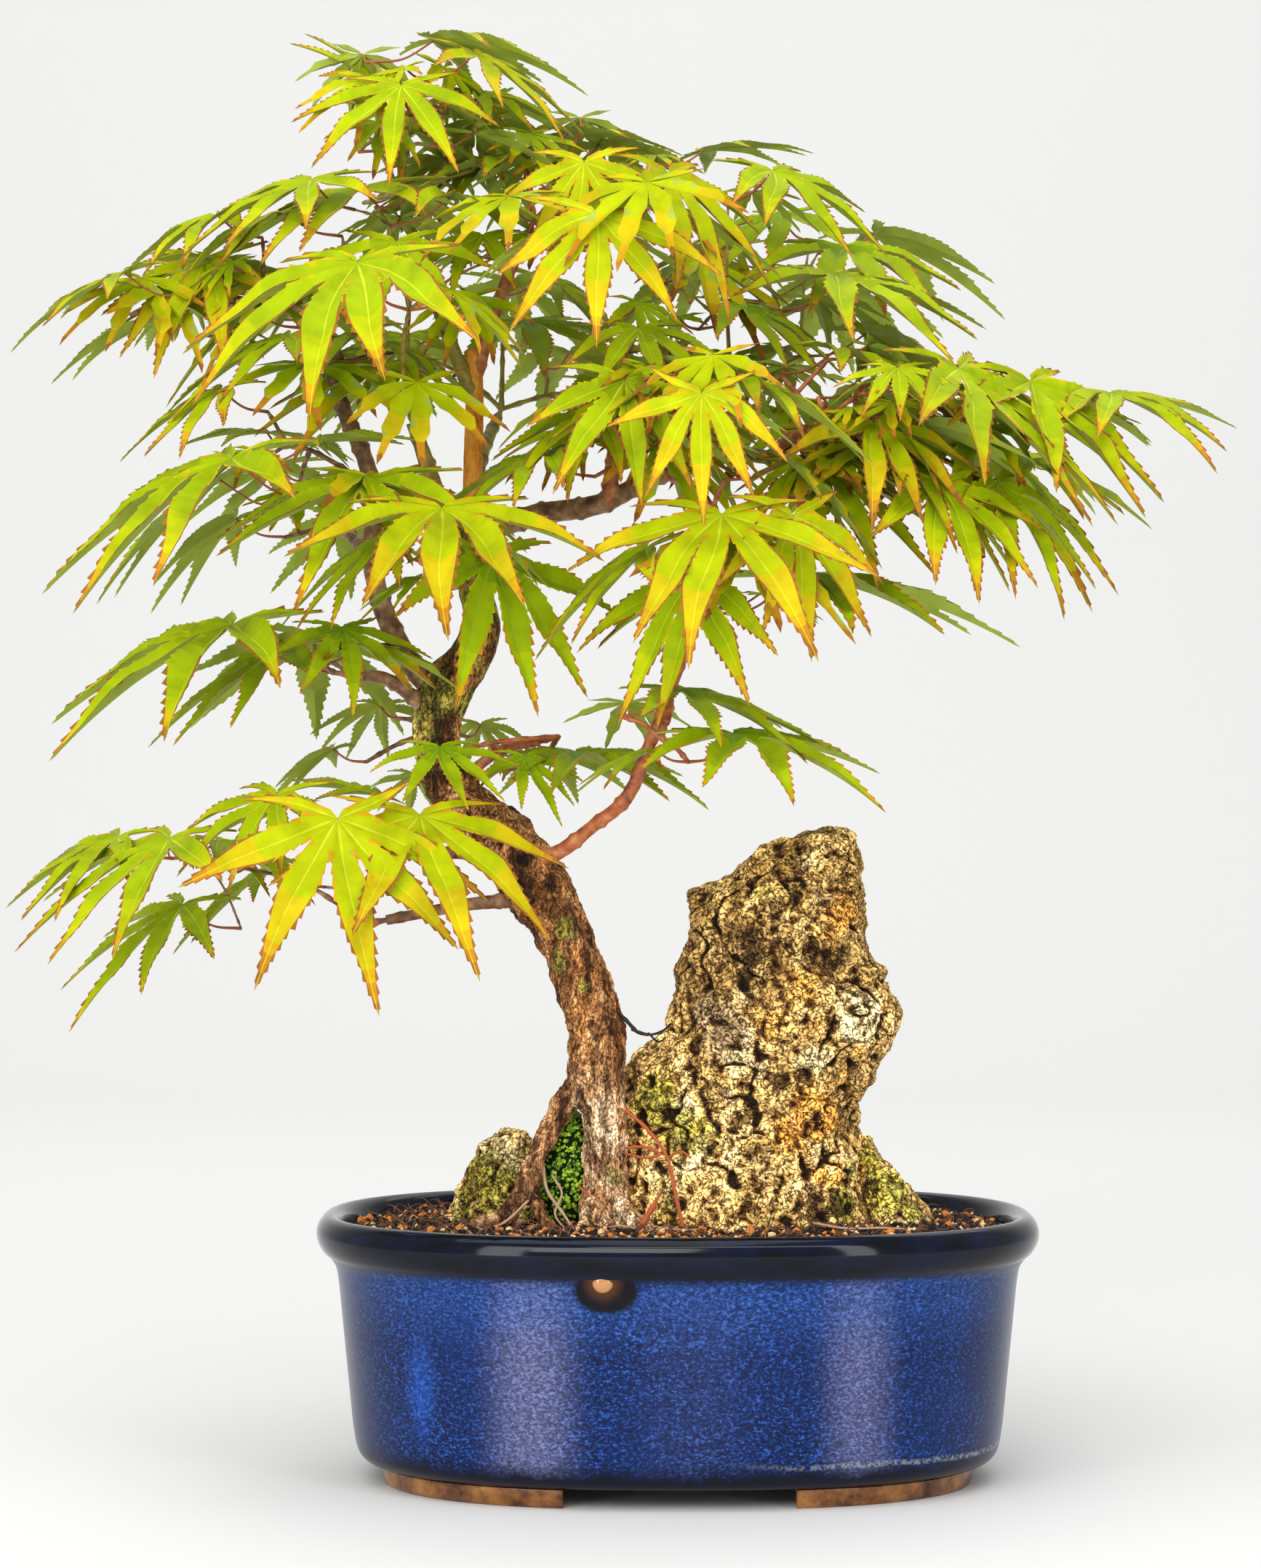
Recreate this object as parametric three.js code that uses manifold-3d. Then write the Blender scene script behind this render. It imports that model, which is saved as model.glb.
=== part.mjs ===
// A bonsai in an oval glazed pot: a small tree with palmate leaves that leans away from a tall stone.
// Millimetres, +Z up. The pot stands on its feet at z = 0 and its long side faces -Y.
// Everything is laid out from the middle of the pot, and the whole is then moved so that the
// origin lies under the middle of the crown's and the pot's common box.
import * as THREE from 'three';
import { mergeVertices } from 'three/addons/utils/BufferGeometryUtils.js';
import Module from 'manifold-3d';

const wasm = await Module();
wasm.setup();

// Driving dimensions
const POT_LENGTH = 220;
const POT_DEPTH = 168;
const POT_SQUARENESS = 2.45;
const RIM_TOP = 80.5;
const POT_UNDERSIDE = 6;
const FLOOR_THICKNESS = 6;
const FOOT_GAP_LENGTH = 68;
const FOOT_GAP_DEPTH = 46;
const DRAIN_RADIUS = 6;
const DRAIN_SPACING = 80;
const GROUND = 78;
const SOIL_AT_WALL = 75.5;
const GAP = 0.3;
const WELD = 1e-4;
const BOX_CENTRE_X = -17.2;
const BOX_CENTRE_Y = -10.4;

// A leaf: the length of its middle lobe is its size, and the rest is a share of that
const LOBES = [
  { turn: -116, length: 0.45, small: true },
  { turn: -70, length: 0.82, small: false },
  { turn: -34, length: 0.95, small: false },
  { turn: 0, length: 1, small: false },
  { turn: 34, length: 0.95, small: false },
  { turn: 70, length: 0.82, small: false },
  { turn: 116, length: 0.45, small: true },
];
const LOBE_HALF_WIDTH = 0.1;
const SHOULDER_AT = 0.44;
const NOTCH_AT = 0.17;
const STALK_NOTCH_AT = 0.05;
const STALK_SIDE = 150;
const LEAF_HALF_THICKNESS = 0.6;
const LOBE_HANG = 28;
const STALK_RISE = 20;
const STALK_LENGTH = 0.42;
const STALK_RADIUS = 0.65;
const TWIG_RADIUS = 1.5;
const TWIG_REACH = 110;
const TWIG_RING = [[0.87, -0.5], [0, 1], [-0.87, -0.5]];

const rad = THREE.MathUtils.degToRad;
const vec = (x, y, z) => new THREE.Vector3(x, y, z);

// Seeded dice, so that every leaf falls the same way each time
function dice(seed) {
  let state = (seed * 7919) % 2147483647 + 1;
  return (low, high) => {
    state = (state * 16807) % 2147483647;
    return low + (high - low) * state / 2147483647;
  };
}

// Solids
function solidOf(geometry) {
  geometry.deleteAttribute('normal');
  geometry.deleteAttribute('uv');
  const merged = mergeVertices(geometry, WELD);
  const corners = merged.index.array;
  const kept = [];
  for (let i = 0; i < corners.length; i += 3) {
    const [a, b, c] = [corners[i], corners[i + 1], corners[i + 2]];
    if (a !== b && b !== c && c !== a) kept.push(a, b, c);
  }
  return new wasm.Manifold(new wasm.Mesh({
    numProp: 3,
    vertProperties: new Float32Array(merged.attributes.position.array),
    triVerts: new Uint32Array(kept),
  }));
}

function geometryOf(solid) {
  const mesh = solid.getMesh();
  const geometry = new THREE.BufferGeometry();
  geometry.setAttribute('position', new THREE.BufferAttribute(mesh.vertProperties, 3));
  geometry.setIndex(new THREE.BufferAttribute(mesh.triVerts, 1));
  geometry.computeVertexNormals();
  return geometry;
}

function boxSolid(width, depth, height, x, y, z) {
  return solidOf(new THREE.BoxGeometry(width, depth, height).translate(x, y, z));
}

// The largest body of a solid, without loose scraps or sealed hollows
function mainBody(solid) {
  return solid.decompose().reduce((best, body) => (body.volume() > best.volume() ? body : best));
}

// A round piece that follows a row of points, with a radius at each
function sweep(points, radii, sides) {
  const geometry = new THREE.CylinderGeometry(1, 1, 1, sides, points.length - 1);
  const last = points.length - 1;
  const tangents = points.map((_, i) => {
    const ahead = points[Math.min(i + 1, last)];
    const behind = points[Math.max(i - 1, 0)];
    return ahead.clone().sub(behind).normalize();
  });
  const upright = Math.abs(tangents[0].z) > 0.9 ? vec(1, 0, 0) : vec(0, 0, 1);
  let side = upright.cross(tangents[0]).normalize();
  const frames = tangents.map((tangent, i) => {
    const bend = new THREE.Quaternion().setFromUnitVectors(tangents[Math.max(i - 1, 0)], tangent);
    side = side.clone().applyQuaternion(bend);
    return { side, other: tangent.clone().cross(side) };
  });
  const position = geometry.attributes.position;
  for (let v = 0; v < position.count; v++) {
    const ring = Math.round((position.getY(v) + 0.5) * last);
    const spot = points[ring].clone()
      .addScaledVector(frames[ring].other, position.getX(v) * radii[ring])
      .addScaledVector(frames[ring].side, position.getZ(v) * radii[ring]);
    position.setXYZ(v, spot.x, spot.y, spot.z);
  }
  return solidOf(geometry);
}

// A tapering limb through stations of [x, y, z, radius]
function limb(stations, sides, steps, swell = 0) {
  const curve = new THREE.CatmullRomCurve3(stations.map(([x, y, z]) => vec(x, y, z)));
  const points = curve.getPoints(steps);
  const radii = points.map((_, i) => {
    const place = i / steps * (stations.length - 1);
    const below = Math.min(Math.floor(place), stations.length - 2);
    return THREE.MathUtils.lerp(stations[below][3], stations[below + 1][3], place - below) + swell;
  });
  return sweep(points, radii, sides);
}

// Oval pot: a turned profile of [half length, height], pressed into a rounded oblong
function oval(profile, segments) {
  const geometry = new THREE.LatheGeometry(profile.map(([r, z]) => new THREE.Vector2(r, z)), segments);
  geometry.rotateX(Math.PI / 2);
  const position = geometry.attributes.position;
  for (let v = 0; v < position.count; v++) {
    const [x, y] = [position.getX(v), position.getY(v)];
    const radius = Math.hypot(x, y);
    if (radius < WELD) continue;
    const fullness = (Math.abs(x / radius) ** POT_SQUARENESS + Math.abs(y / radius) ** POT_SQUARENESS)
      ** (-1 / POT_SQUARENESS);
    position.setXY(v, x * fullness, y * fullness * POT_DEPTH / POT_LENGTH);
  }
  return solidOf(geometry);
}

const HALF = POT_LENGTH / 2;
const OUTER_WALL = [
  [HALF - 17, POT_UNDERSIDE], [HALF - 12, POT_UNDERSIDE + 3], [HALF - 6.2, 65],
  [HALF - 4.2, 67.5], [HALF - 0.9, 71],
  [HALF, 75], [HALF - 1, 78.6], [HALF - 4, RIM_TOP], [HALF - 6.5, RIM_TOP - 0.6], [HALF - 8.5, RIM_TOP - 3],
];
const INNER_WALL = [
  [HALF - 11, SOIL_AT_WALL - 8], [HALF - 17, POT_UNDERSIDE + FLOOR_THICKNESS + 6],
  [HALF - 23, POT_UNDERSIDE + FLOOR_THICKNESS],
];
const POT_SEGMENTS = 32;

function makePot() {
  const floor = POT_UNDERSIDE + FLOOR_THICKNESS;
  let pot = oval([[0, POT_UNDERSIDE], ...OUTER_WALL, ...INNER_WALL, [0, floor]], POT_SEGMENTS);
  for (const side of [-1, 1]) {
    const drain = new THREE.CylinderGeometry(DRAIN_RADIUS, DRAIN_RADIUS, 4 * FLOOR_THICKNESS, 12)
      .rotateX(Math.PI / 2).translate(side * DRAIN_SPACING / 2, 0, POT_UNDERSIDE);
    pot = pot.subtract(solidOf(drain));
  }
  return pot;
}

// Four bare clay feet: what is left of one oval ring in the corners
function makeFoot(alongX, alongY) {
  const top = POT_UNDERSIDE - GAP;
  const ring = oval([
    [HALF - 33, 0], [HALF - 19.5, 0], [HALF - 18, top], [HALF - 34, top], [HALF - 33, 0],
  ], POT_SEGMENTS);
  const [width, depth] = [(POT_LENGTH - FOOT_GAP_LENGTH) / 2, (POT_DEPTH - FOOT_GAP_DEPTH) / 2];
  const corner = boxSolid(width, depth, 3 * POT_UNDERSIDE,
    alongX * (FOOT_GAP_LENGTH + width) / 2, alongY * (FOOT_GAP_DEPTH + depth) / 2, 0);
  return ring.intersect(corner);
}

function makeSoil() {
  const bottom = POT_UNDERSIDE + FLOOR_THICKNESS + GAP;
  return oval([
    [0, bottom], [HALF - 23.5, bottom], [HALF - 17.6, bottom + 6], [HALF - 11.6, SOIL_AT_WALL - 8],
    [HALF - 9.6, SOIL_AT_WALL], [HALF - 18, SOIL_AT_WALL + 1], [HALF - 28, GROUND], [0, GROUND],
  ], POT_SEGMENTS);
}

// Stones: each level gives its height, its left and right edge, and its front and back.
// Each crag stands on the front at x and z, with its radius and how far it stands out, or in if negative.
const STONES = {
  tall: { sides: 24, seed: 5, lumps: 30, levels: [
    [198, 42, 53, -10, 4], [195, 35, 55, -14, 8], [191, 22, 56, -16, 10], [187, 18, 56.5, -18, 12],
    [183, 14, 57, -19, 13], [178, 6, 57.5, -22, 15], [171, 4, 58, -23, 16], [164, 3, 57, -24, 17],
    [159, 1, 61, -24, 18], [154, -1, 64.5, -25, 20], [148, -1, 66, -26, 21], [142, -2, 67, -27, 22],
    [136, -3, 67, -27, 22], [131, -11, 65, -26, 22], [126, -15, 60.5, -26, 22], [119, -18, 59, -25, 23],
    [114, -20, 55.5, -26, 23], [107, -20, 55, -27, 24], [99, -20, 57, -29, 25], [90, -20, 58, -30, 26],
    [84, -20, 60, -31, 27], [GROUND + GAP, -20, 61, -32, 27]],
  crags: [
    [23, 160, 6, -4.5], [21, 152, 5, -3.5], [29, 175, 5, -2], [40, 161, 5, -3], [46, 157, 5, -4],
    [51, 153, 5, -4.5], [57, 148, 4, -3], [60, 155, 6, 2], [56, 141, 9, 3], [36, 145, 9, 2.5],
    [32, 158, 6, 2], [30, 121, 5, -3], [39, 123, 5, -2.5], [57, 123, 5, 2], [19, 111, 7, -2.5],
    [42, 111, 8, 3], [34, 104, 7, 2], [22, 99, 5, -2.5], [50, 95, 7, 3], [42, 84, 7, -4],
    [8, 122, 9, 2], [-8, 118, 9, 1.5], [10, 168, 9, 1.5], [24, 188, 5, 2], [31, 190, 3, -2],
    [47, 187, 7, 2], [12, 140, 8, 1.5], [8, 90, 9, 2], [27, 133, 7, 1.5]] },
  left: { sides: 12, seed: 8, lumps: 8, levels: [
    [105.5, -54, -46.5, -8, 2], [102, -59, -45, -10, 5], [97, -62, -44, -11, 7], [92, -65, -43, -12, 9],
    [86, -67.5, -42, -13, 11], [GROUND + GAP, -70, -40, -14, 13]],
  crags: [[-59, 100, 4, 1.5], [-50, 95, 4, -1.5], [-63, 90, 4, -1.5], [-54, 86, 5, 1.5]] },
  right: { sides: 12, seed: 11, lumps: 8, levels: [
    [103, 55, 58.5, -3, 3], [98, 54, 61, -7, 7], [94, 54, 65.5, -9, 10], [88, 53, 71, -14, 15],
    [GROUND + GAP, 52, 78, -17, 18]],
  crags: [[65, 93, 4, 1.5], [70, 86, 4, -1.5]] },
};
const CRAG_FALL = 2;
const LUMP_RADIUS = [7, 13];
const LUMP_RISE = 3;
const LUMP_SPREAD = 0.2;
const BOULDER_WIDTH = 60;

// Left, right, front and back of a stone at a height
function girth(levels, height) {
  const below = Math.max(1, levels.findIndex((level) => level[0] <= height + WELD));
  const [upper, lower] = [levels[below - 1], levels[below]];
  const down = (upper[0] - height) / (upper[0] - lower[0]);
  return [1, 2, 3, 4].map((k) => upper[k] + (lower[k] - upper[k]) * down);
}

function onStone(levels, angle, height) {
  const [left, right, front, back] = girth(levels, height);
  return vec((left + right) / 2 + Math.cos(angle) * (right - left) / 2,
    (front + back) / 2 + Math.sin(angle) * (back - front) / 2, height);
}

// The crags of the front, and seeded lumps on the sides and the back
function cragsOf({ levels, crags, lumps, seed }) {
  const roll = dice(seed);
  const [top, foot] = [levels[0][0], levels.at(-1)[0]];
  const [, left, right] = levels.at(-1);
  const size = Math.min(1, (right - left) / BOULDER_WIDTH);
  const placed = crags.map(([x, z, radius, rise]) => {
    const [west, east] = girth(levels, z);
    const across = (2 * x - west - east) / (east - west);
    return { spot: onStone(levels, -Math.acos(Math.max(-1, Math.min(1, across))), z), radius, rise };
  });
  for (let i = 0; i < lumps; i++) {
    const spot = onStone(levels, roll(-LUMP_SPREAD, Math.PI + LUMP_SPREAD), roll(foot, top));
    placed.push({ spot, radius: size * roll(...LUMP_RADIUS), rise: size * roll(-LUMP_RISE, LUMP_RISE) });
  }
  return placed;
}

function stone(form, swell = 0) {
  const { levels, sides } = form;
  const placed = cragsOf(form);
  const last = levels.length - 1;
  const geometry = new THREE.CylinderGeometry(1, 1, 1, sides, last);
  const position = geometry.attributes.position;
  for (let v = 0; v < position.count; v++) {
    const [height] = levels[Math.round((0.5 - position.getY(v)) * last)];
    const [across, deep] = [position.getX(v), -position.getZ(v)];
    const angle = Math.atan2(deep, across);
    const skin = onStone(levels, angle, height);
    if (Math.hypot(across, deep) < WELD) {
      skin.add(onStone(levels, angle + Math.PI, height)).divideScalar(2);
    } else {
      const rise = placed.reduce((sum, crag) => (
        sum + crag.rise * Math.exp(-CRAG_FALL * (skin.distanceTo(crag.spot) / crag.radius) ** 2)), swell);
      skin.add(vec(Math.cos(angle), Math.sin(angle), 0).multiplyScalar(rise));
    }
    position.setXYZ(v, skin.x, skin.y, skin.z);
  }
  return solidOf(geometry);
}

// The trunk: its right leg runs on into the leader, and a thinner leg leaves to the left
const TRUNK = [
  [-22, -18, 72, 8.6], [-22, -18, 82, 7.2], [-22, -17, 94, 6.3], [-22.5, -17, 112, 6.6],
  [-24.5, -16, 122, 8.6], [-24.5, -15, 132, 8.1], [-25.5, -14, 141, 8], [-29, -13, 150, 8.2],
  [-33.5, -12, 162, 8.3],
  [-37.5, -12, 171, 8.5], [-42, -11, 178, 10.3], [-47, -10, 186, 9.9], [-53, -9, 194, 9.2],
  [-62, -8, 202, 8], [-70, -7, 212, 7.3], [-73.5, -6, 225, 7], [-71, -6, 239, 8.4],
  [-63, -5, 250, 6.6], [-60, -5, 260, 5.8], [-62, -4, 270, 4.6], [-64.5, -4, 280, 3.8],
  [-62.5, -3, 292, 3.4], [-62.5, -2, 308, 3], [-62, -1, 326, 2.9], [-62.5, 0, 344, 2.7],
];
const ROOTS = [
  [[-26, -16, 122, 5], [-33, -18, 116, 4], [-39, -20, 106, 3.2], [-44, -22, 96, 2.9], [-46.5, -23, 88, 2.8],
    [-53, -25, 81, 2.5], [-63, -26, 77, 2]],
  [[-43, -21, 97, 2.2], [-43.5, -24, 87, 2.2], [-39, -28, 78, 2.2], [-37, -30, 74, 2]],
  [[-20, -20, 88, 3], [-14, -27, 81, 2.6], [-8, -33, 75, 2]],
  [[-24, -20, 88, 3], [-28, -29, 80, 2.4], [-30, -36, 74, 2]],
  [[-22, -14, 90, 3.4], [-25, -4, 82, 3], [-30, 5, 75, 2.2]],
];
const MOSS = { middle: [-33, -11, 91], radii: [9, 8, 22] };
const BELOW_GROUND = 40;
const TRUNK_SIDES = 8;
const TRUNK_STEPS = 30;
const LIMB_SIDES = 5;

function makeTrunk(swell) {
  let trunk = limb(TRUNK, TRUNK_SIDES, TRUNK_STEPS, swell);
  for (const root of ROOTS) trunk = trunk.add(limb(root, LIMB_SIDES, root.length, swell));
  return aboveGround(trunk);
}

function aboveGround(solid) {
  return solid.subtract(boxSolid(POT_LENGTH, POT_DEPTH, BELOW_GROUND, 0, 0, GROUND + GAP - BELOW_GROUND / 2));
}

function makeMoss() {
  const tuft = new THREE.SphereGeometry(1, 8, 6).rotateX(Math.PI / 2);
  tuft.scale(...MOSS.radii).translate(...MOSS.middle);
  return aboveGround(solidOf(tuft));
}

// Boughs: stations of [x, y, z, radius], each starting inside the limb that carries it
const BOUGHS = {
  left: { on: 'trunk', stations: [[-73, -5, 239, 3.8], [-80, -8, 246, 3.4], [-91, -10, 269, 3],
    [-94, -8, 306, 2.6], [-102, -10, 326, 2.3], [-107, -12, 345, 2]] },
  left_side: { on: 'left', stations: [[-94, -9, 296, 1.9], [-97, -14, 300, 1.8], [-100, -21, 304, 1.6]] },
  left_middle: { on: 'trunk', stations: [[-72, -6, 226, 2.6], [-80, -10, 237, 2.3], [-89, -14, 243, 2],
    [-98, -16, 244, 1.6]] },
  low_left: { on: 'trunk', stations: [[-42, -11, 176, 2.4], [-60, -17, 175, 2], [-88, -20, 170, 1.5]] },
  low_left_front: { on: 'trunk', stations: [[-48, -10, 187, 2.2], [-64, -20, 190, 1.9],
    [-79, -32, 190, 1.5]] },
  waist: { on: 'trunk', stations: [[-66, -7, 212, 1.8], [-54, -8, 221, 1.5], [-42, -8, 224, 1.3]] },
  low_right: { on: 'trunk', stations: [[-50, -10, 188, 2.6], [-37, -19, 190, 2.3], [-26, -24, 198, 2],
    [-15.5, -29, 207, 2.1], [-9, -31, 222, 1.8], [-2.8, -32, 238, 1.7], [3, -32, 254, 1.6]] },
  low_right_side: { on: 'low_right', stations: [[-3, -32, 236, 1.7], [-3, -36, 233, 1.5],
    [-4, -39, 229, 1.3]] },
  front: { on: 'trunk', stations: [[-62, -4, 272, 1.8], [-62, -14, 280, 1.6], [-62, -24, 286, 1.4]] },
  olive: { on: 'trunk', stations: [[-64, -4, 278, 2.8], [-69, -9, 288, 2.6], [-75, -14, 305, 2.4],
    [-80, -18, 320, 2.1]] },
  top: { on: 'trunk', stations: [[-62, -1, 328, 2.3], [-67, -3, 340, 2.1], [-77, -4, 367, 1.8],
    [-83, -3, 385, 1.5]] },
  top_right: { on: 'trunk', stations: [[-62, 0, 334, 2], [-54, -5, 360, 1.8], [-46, -10, 377, 1.5]] },
  right: { on: 'trunk', stations: [[-62, -4, 287, 3.6], [-43, -6, 293, 3.3], [-24, -9, 296, 3.1],
    [-7, -11, 304, 2.6], [16, -12, 311, 2.3], [39, -12, 309, 2], [50, -12, 314, 1.6]] },
  right_up: { on: 'right', stations: [[-21, -10, 296, 2.5], [-20, -13, 306, 2.3], [-19, -18, 315, 1.8]] },
  right_front: { on: 'right', stations: [[-3, -11, 305, 1.8], [2, -22, 302, 1.6], [8, -34, 296, 1.3]] },
  right_near: { on: 'right', stations: [[27, -12, 310, 1.8], [34, -21, 315, 1.6], [40, -30, 317, 1.3]] },
  right_back: { on: 'right', stations: [[-10, -11, 302, 2], [0, 4, 312, 1.8], [14, 20, 324, 1.5]] },
  back: { on: 'trunk', stations: [[-62, -2, 304, 2.6], [-60, 14, 314, 2.2], [-56, 34, 326, 1.6]] },
  back_left: { on: 'left', stations: [[-92, -9, 276, 2], [-97, 10, 284, 1.8], [-104, 28, 290, 1.4]] },
  back_low: { on: 'trunk', stations: [[-71, -7, 214, 2], [-72, 10, 222, 1.7], [-76, 26, 226, 1.3]] },
};

// Foliage: each mass grows from the tip of its bough. A lead leaf is
// [x, y, z of its hub, heading, fall, size, mates that share its stalk's foot]. A pad gives further
// leaves on an oval round its middle.
const MASSES = [
  { name: 'leaves_crown_front', bough: 'olive', leads: [
    [-93, -80, 361, 243, 36, 75, 0], [-96, -18, 391, 224, 20, 64, 0],
    [-68, -30, 387, 332, 13, 54, 0], [-59, -24, 376, 258, 28, 37, 0]] },
  { name: 'leaves_trunk', bough: 'front', leads: [
    [-69, -72, 291, 274, 27, 71, 0], [-55, -46, 278, 305, 58, 60, 0],
    [-88, -36, 284, 208, 36, 48, 0]] },
  { name: 'leaves_low_left_front', bough: 'low_left_front', leads: [
    [-99, -75, 201, 288, 61, 66, 0], [-119, -46, 208, 234, 39, 44, 0],
    [-76, -58, 202, 284, 35, 65, 0], [-91, -30, 208, 157, -19, 30, 0]] },
  { name: 'leaves_right_front', bough: 'right_front', leads: [
    [12, -74, 289, 262, 40, 66, 0], [33, -68, 289, 305, 70, 51, 0]] },
  { name: 'leaves_centre', bough: 'right_up', leads: [
    [-12, -34, 347, 285, 28, 40, 0], [-16, -60, 329, 283, 60, 49, 0],
    [6, -86, 323, 266, 67, 41, 0], [18, -54, 331, 342, 24, 50, 0]] },
  { name: 'leaves_right_far', bough: 'right', leads: [
    [83, -44, 334, 325, 41, 69, 0], [106, -24, 332, 315, 40, 66, 0],
    [132, -8, 330, 299, 15, 52, 0], [89, 34, 319, 308, 35, 78, 0]],
  pad: { middle: [92, 32, 328], radii: [22, 14, 8], count: 2, size: 50 } },
  { name: 'leaves_top_right', bough: 'top_right', leads: [
    [-28, -52, 394, 259, 68, 38, 0], [-24, -82, 375, 278, 62, 50, 0],
    [-3, -50, 391, 319, 51, 53, 0], [-33, 10, 412, 20, 0, 42, 0], [-24, 24, 410, 60, 10, 44, 0],
    [-51, 2, 402, 190, 8, 54, 0]] },
  { name: 'leaves_top', bough: 'top', leads: [
    [-83, -30, 420, 261, 45, 44, 0], [-90, 8, 425, 150, -44, 40, 0],
    [-74, -4, 438, 8, 2, 50, 0], [-61, -22, 431, 330, 31, 45, 0], [-62, 28, 424, 70, 24, 46, 1]] },
  { name: 'leaves_upper_left', bough: 'left', leads: [
    [-145, 0, 371, 251, 49, 49, 0], [-168, -14, 366, 200, 24, 49, 0],
    [-158, 20, 356, 186, 14, 42, 0], [-118, -14, 347, 215, 23, 49, 1],
    [-140, 6, 372, 130, -10, 40, 0]],
  pad: { middle: [-126, 34, 362], radii: [22, 16, 8], count: 2, size: 46 } },
  { name: 'leaves_right', bough: 'right_near', leads: [
    [44, -24, 305, 304, 40, 52, 0], [64, -56, 333, 272, 31, 30, 0],
    [48, -22, 342, 335, 16, 48, 0], [66, -28, 312, 338, 40, 59, 0]] },
  { name: 'leaves_left', bough: 'left_side', leads: [
    [-132, -50, 307, 213, 29, 78, 0], [-125, -8, 318, 120, -8, 34, 0],
    [-92, -46, 301, 244, 27, 63, 0], [-111, -26, 313, 353, -15, 36, 0],
    [-140, -4, 304, 185, 34, 60, 0]] },
  { name: 'leaves_left_middle', bough: 'left_middle', leads: [
    [-134, -25, 259, 215, 23, 78, 1], [-120, 2, 253, 212, 29, 55, 0],
    [-101, -24, 258, 291, 34, 38, 0]] },
  { name: 'leaves_low_left', bough: 'low_left', leads: [
    [-152, -34, 195, 222, 29, 62, 0], [-170, -12, 195, 212, 27, 47, 1],
    [-152, 4, 174, 217, 32, 54, 0], [-126, 24, 185, 190, 29, 43, 0]] },
  { name: 'leaves_low_right', bough: 'low_right_side', leads: [
    [0, -46, 239, 325, 14, 54, 0], [16, -52, 226, 304, 13, 59, 0]] },
  { name: 'leaves_middle_right', bough: 'low_right', leads: [
    [4, -64, 271, 239, 70, 51, 0], [35, -14, 274, 320, 5, 76, 0]] },
  { name: 'leaves_waist', bough: 'waist', leads: [
    [-71, -38, 222, 284, 33, 31, 0], [-31, 2, 221, 305, 9, 50, 1],
    [-46, -20, 219, 300, 46, 26, 0]] },
  { name: 'leaves_right_back', bough: 'right_back', leads: [
    [29, -12, 397, 313, 30, 50, 0], [9, 20, 408, 12, -10, 38, 0], [48, -8, 366, 307, 17, 63, 0],
    [20, 4, 358, 320, 28, 44, 0], [60, 26, 352, 10, 26, 56, 0]],
  pad: { middle: [40, 46, 372], radii: [34, 26, 20], count: 6, size: 50 } },
  { name: 'leaves_back', bough: 'back', leads: [
    [-52, 66, 372, 80, 30, 54, 1], [-88, 56, 352, 120, 34, 54, 1],
    [-20, 64, 342, 60, 36, 54, 1]],
  pad: { middle: [-50, 50, 338], radii: [36, 26, 22], count: 4, size: 50 } },
  { name: 'leaves_back_left', bough: 'back_left', leads: [
    [-126, 46, 312, 130, 30, 56, 1], [-106, 58, 296, 95, 40, 54, 0],
    [-138, 30, 294, 165, 34, 56, 0]] },
  { name: 'leaves_back_low', bough: 'back_low', leads: [
    [-94, 50, 236, 125, 30, 54, 0], [-62, 54, 230, 70, 34, 52, 0],
    [-108, 34, 222, 165, 30, 52, 0], [-82, 30, 214, 100, 40, 40, 0]] },
];
const LEAD_SEED = 100;
const MATE_SEED = 31;
const PAD_SEED = 71;
const TURN_SEED = 17;
const FIRST_NODE = 6;
const WAY_HOME = 0.3;
const SHORTEST_TWIG = 1;
const MATE_TURN = 120;
const MATE_SHARE = 0.8;
const GOLDEN_ANGLE = 137.5;
const NUDGE_LIFT = 3;
const NUDGE_TURN = 9;

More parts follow.
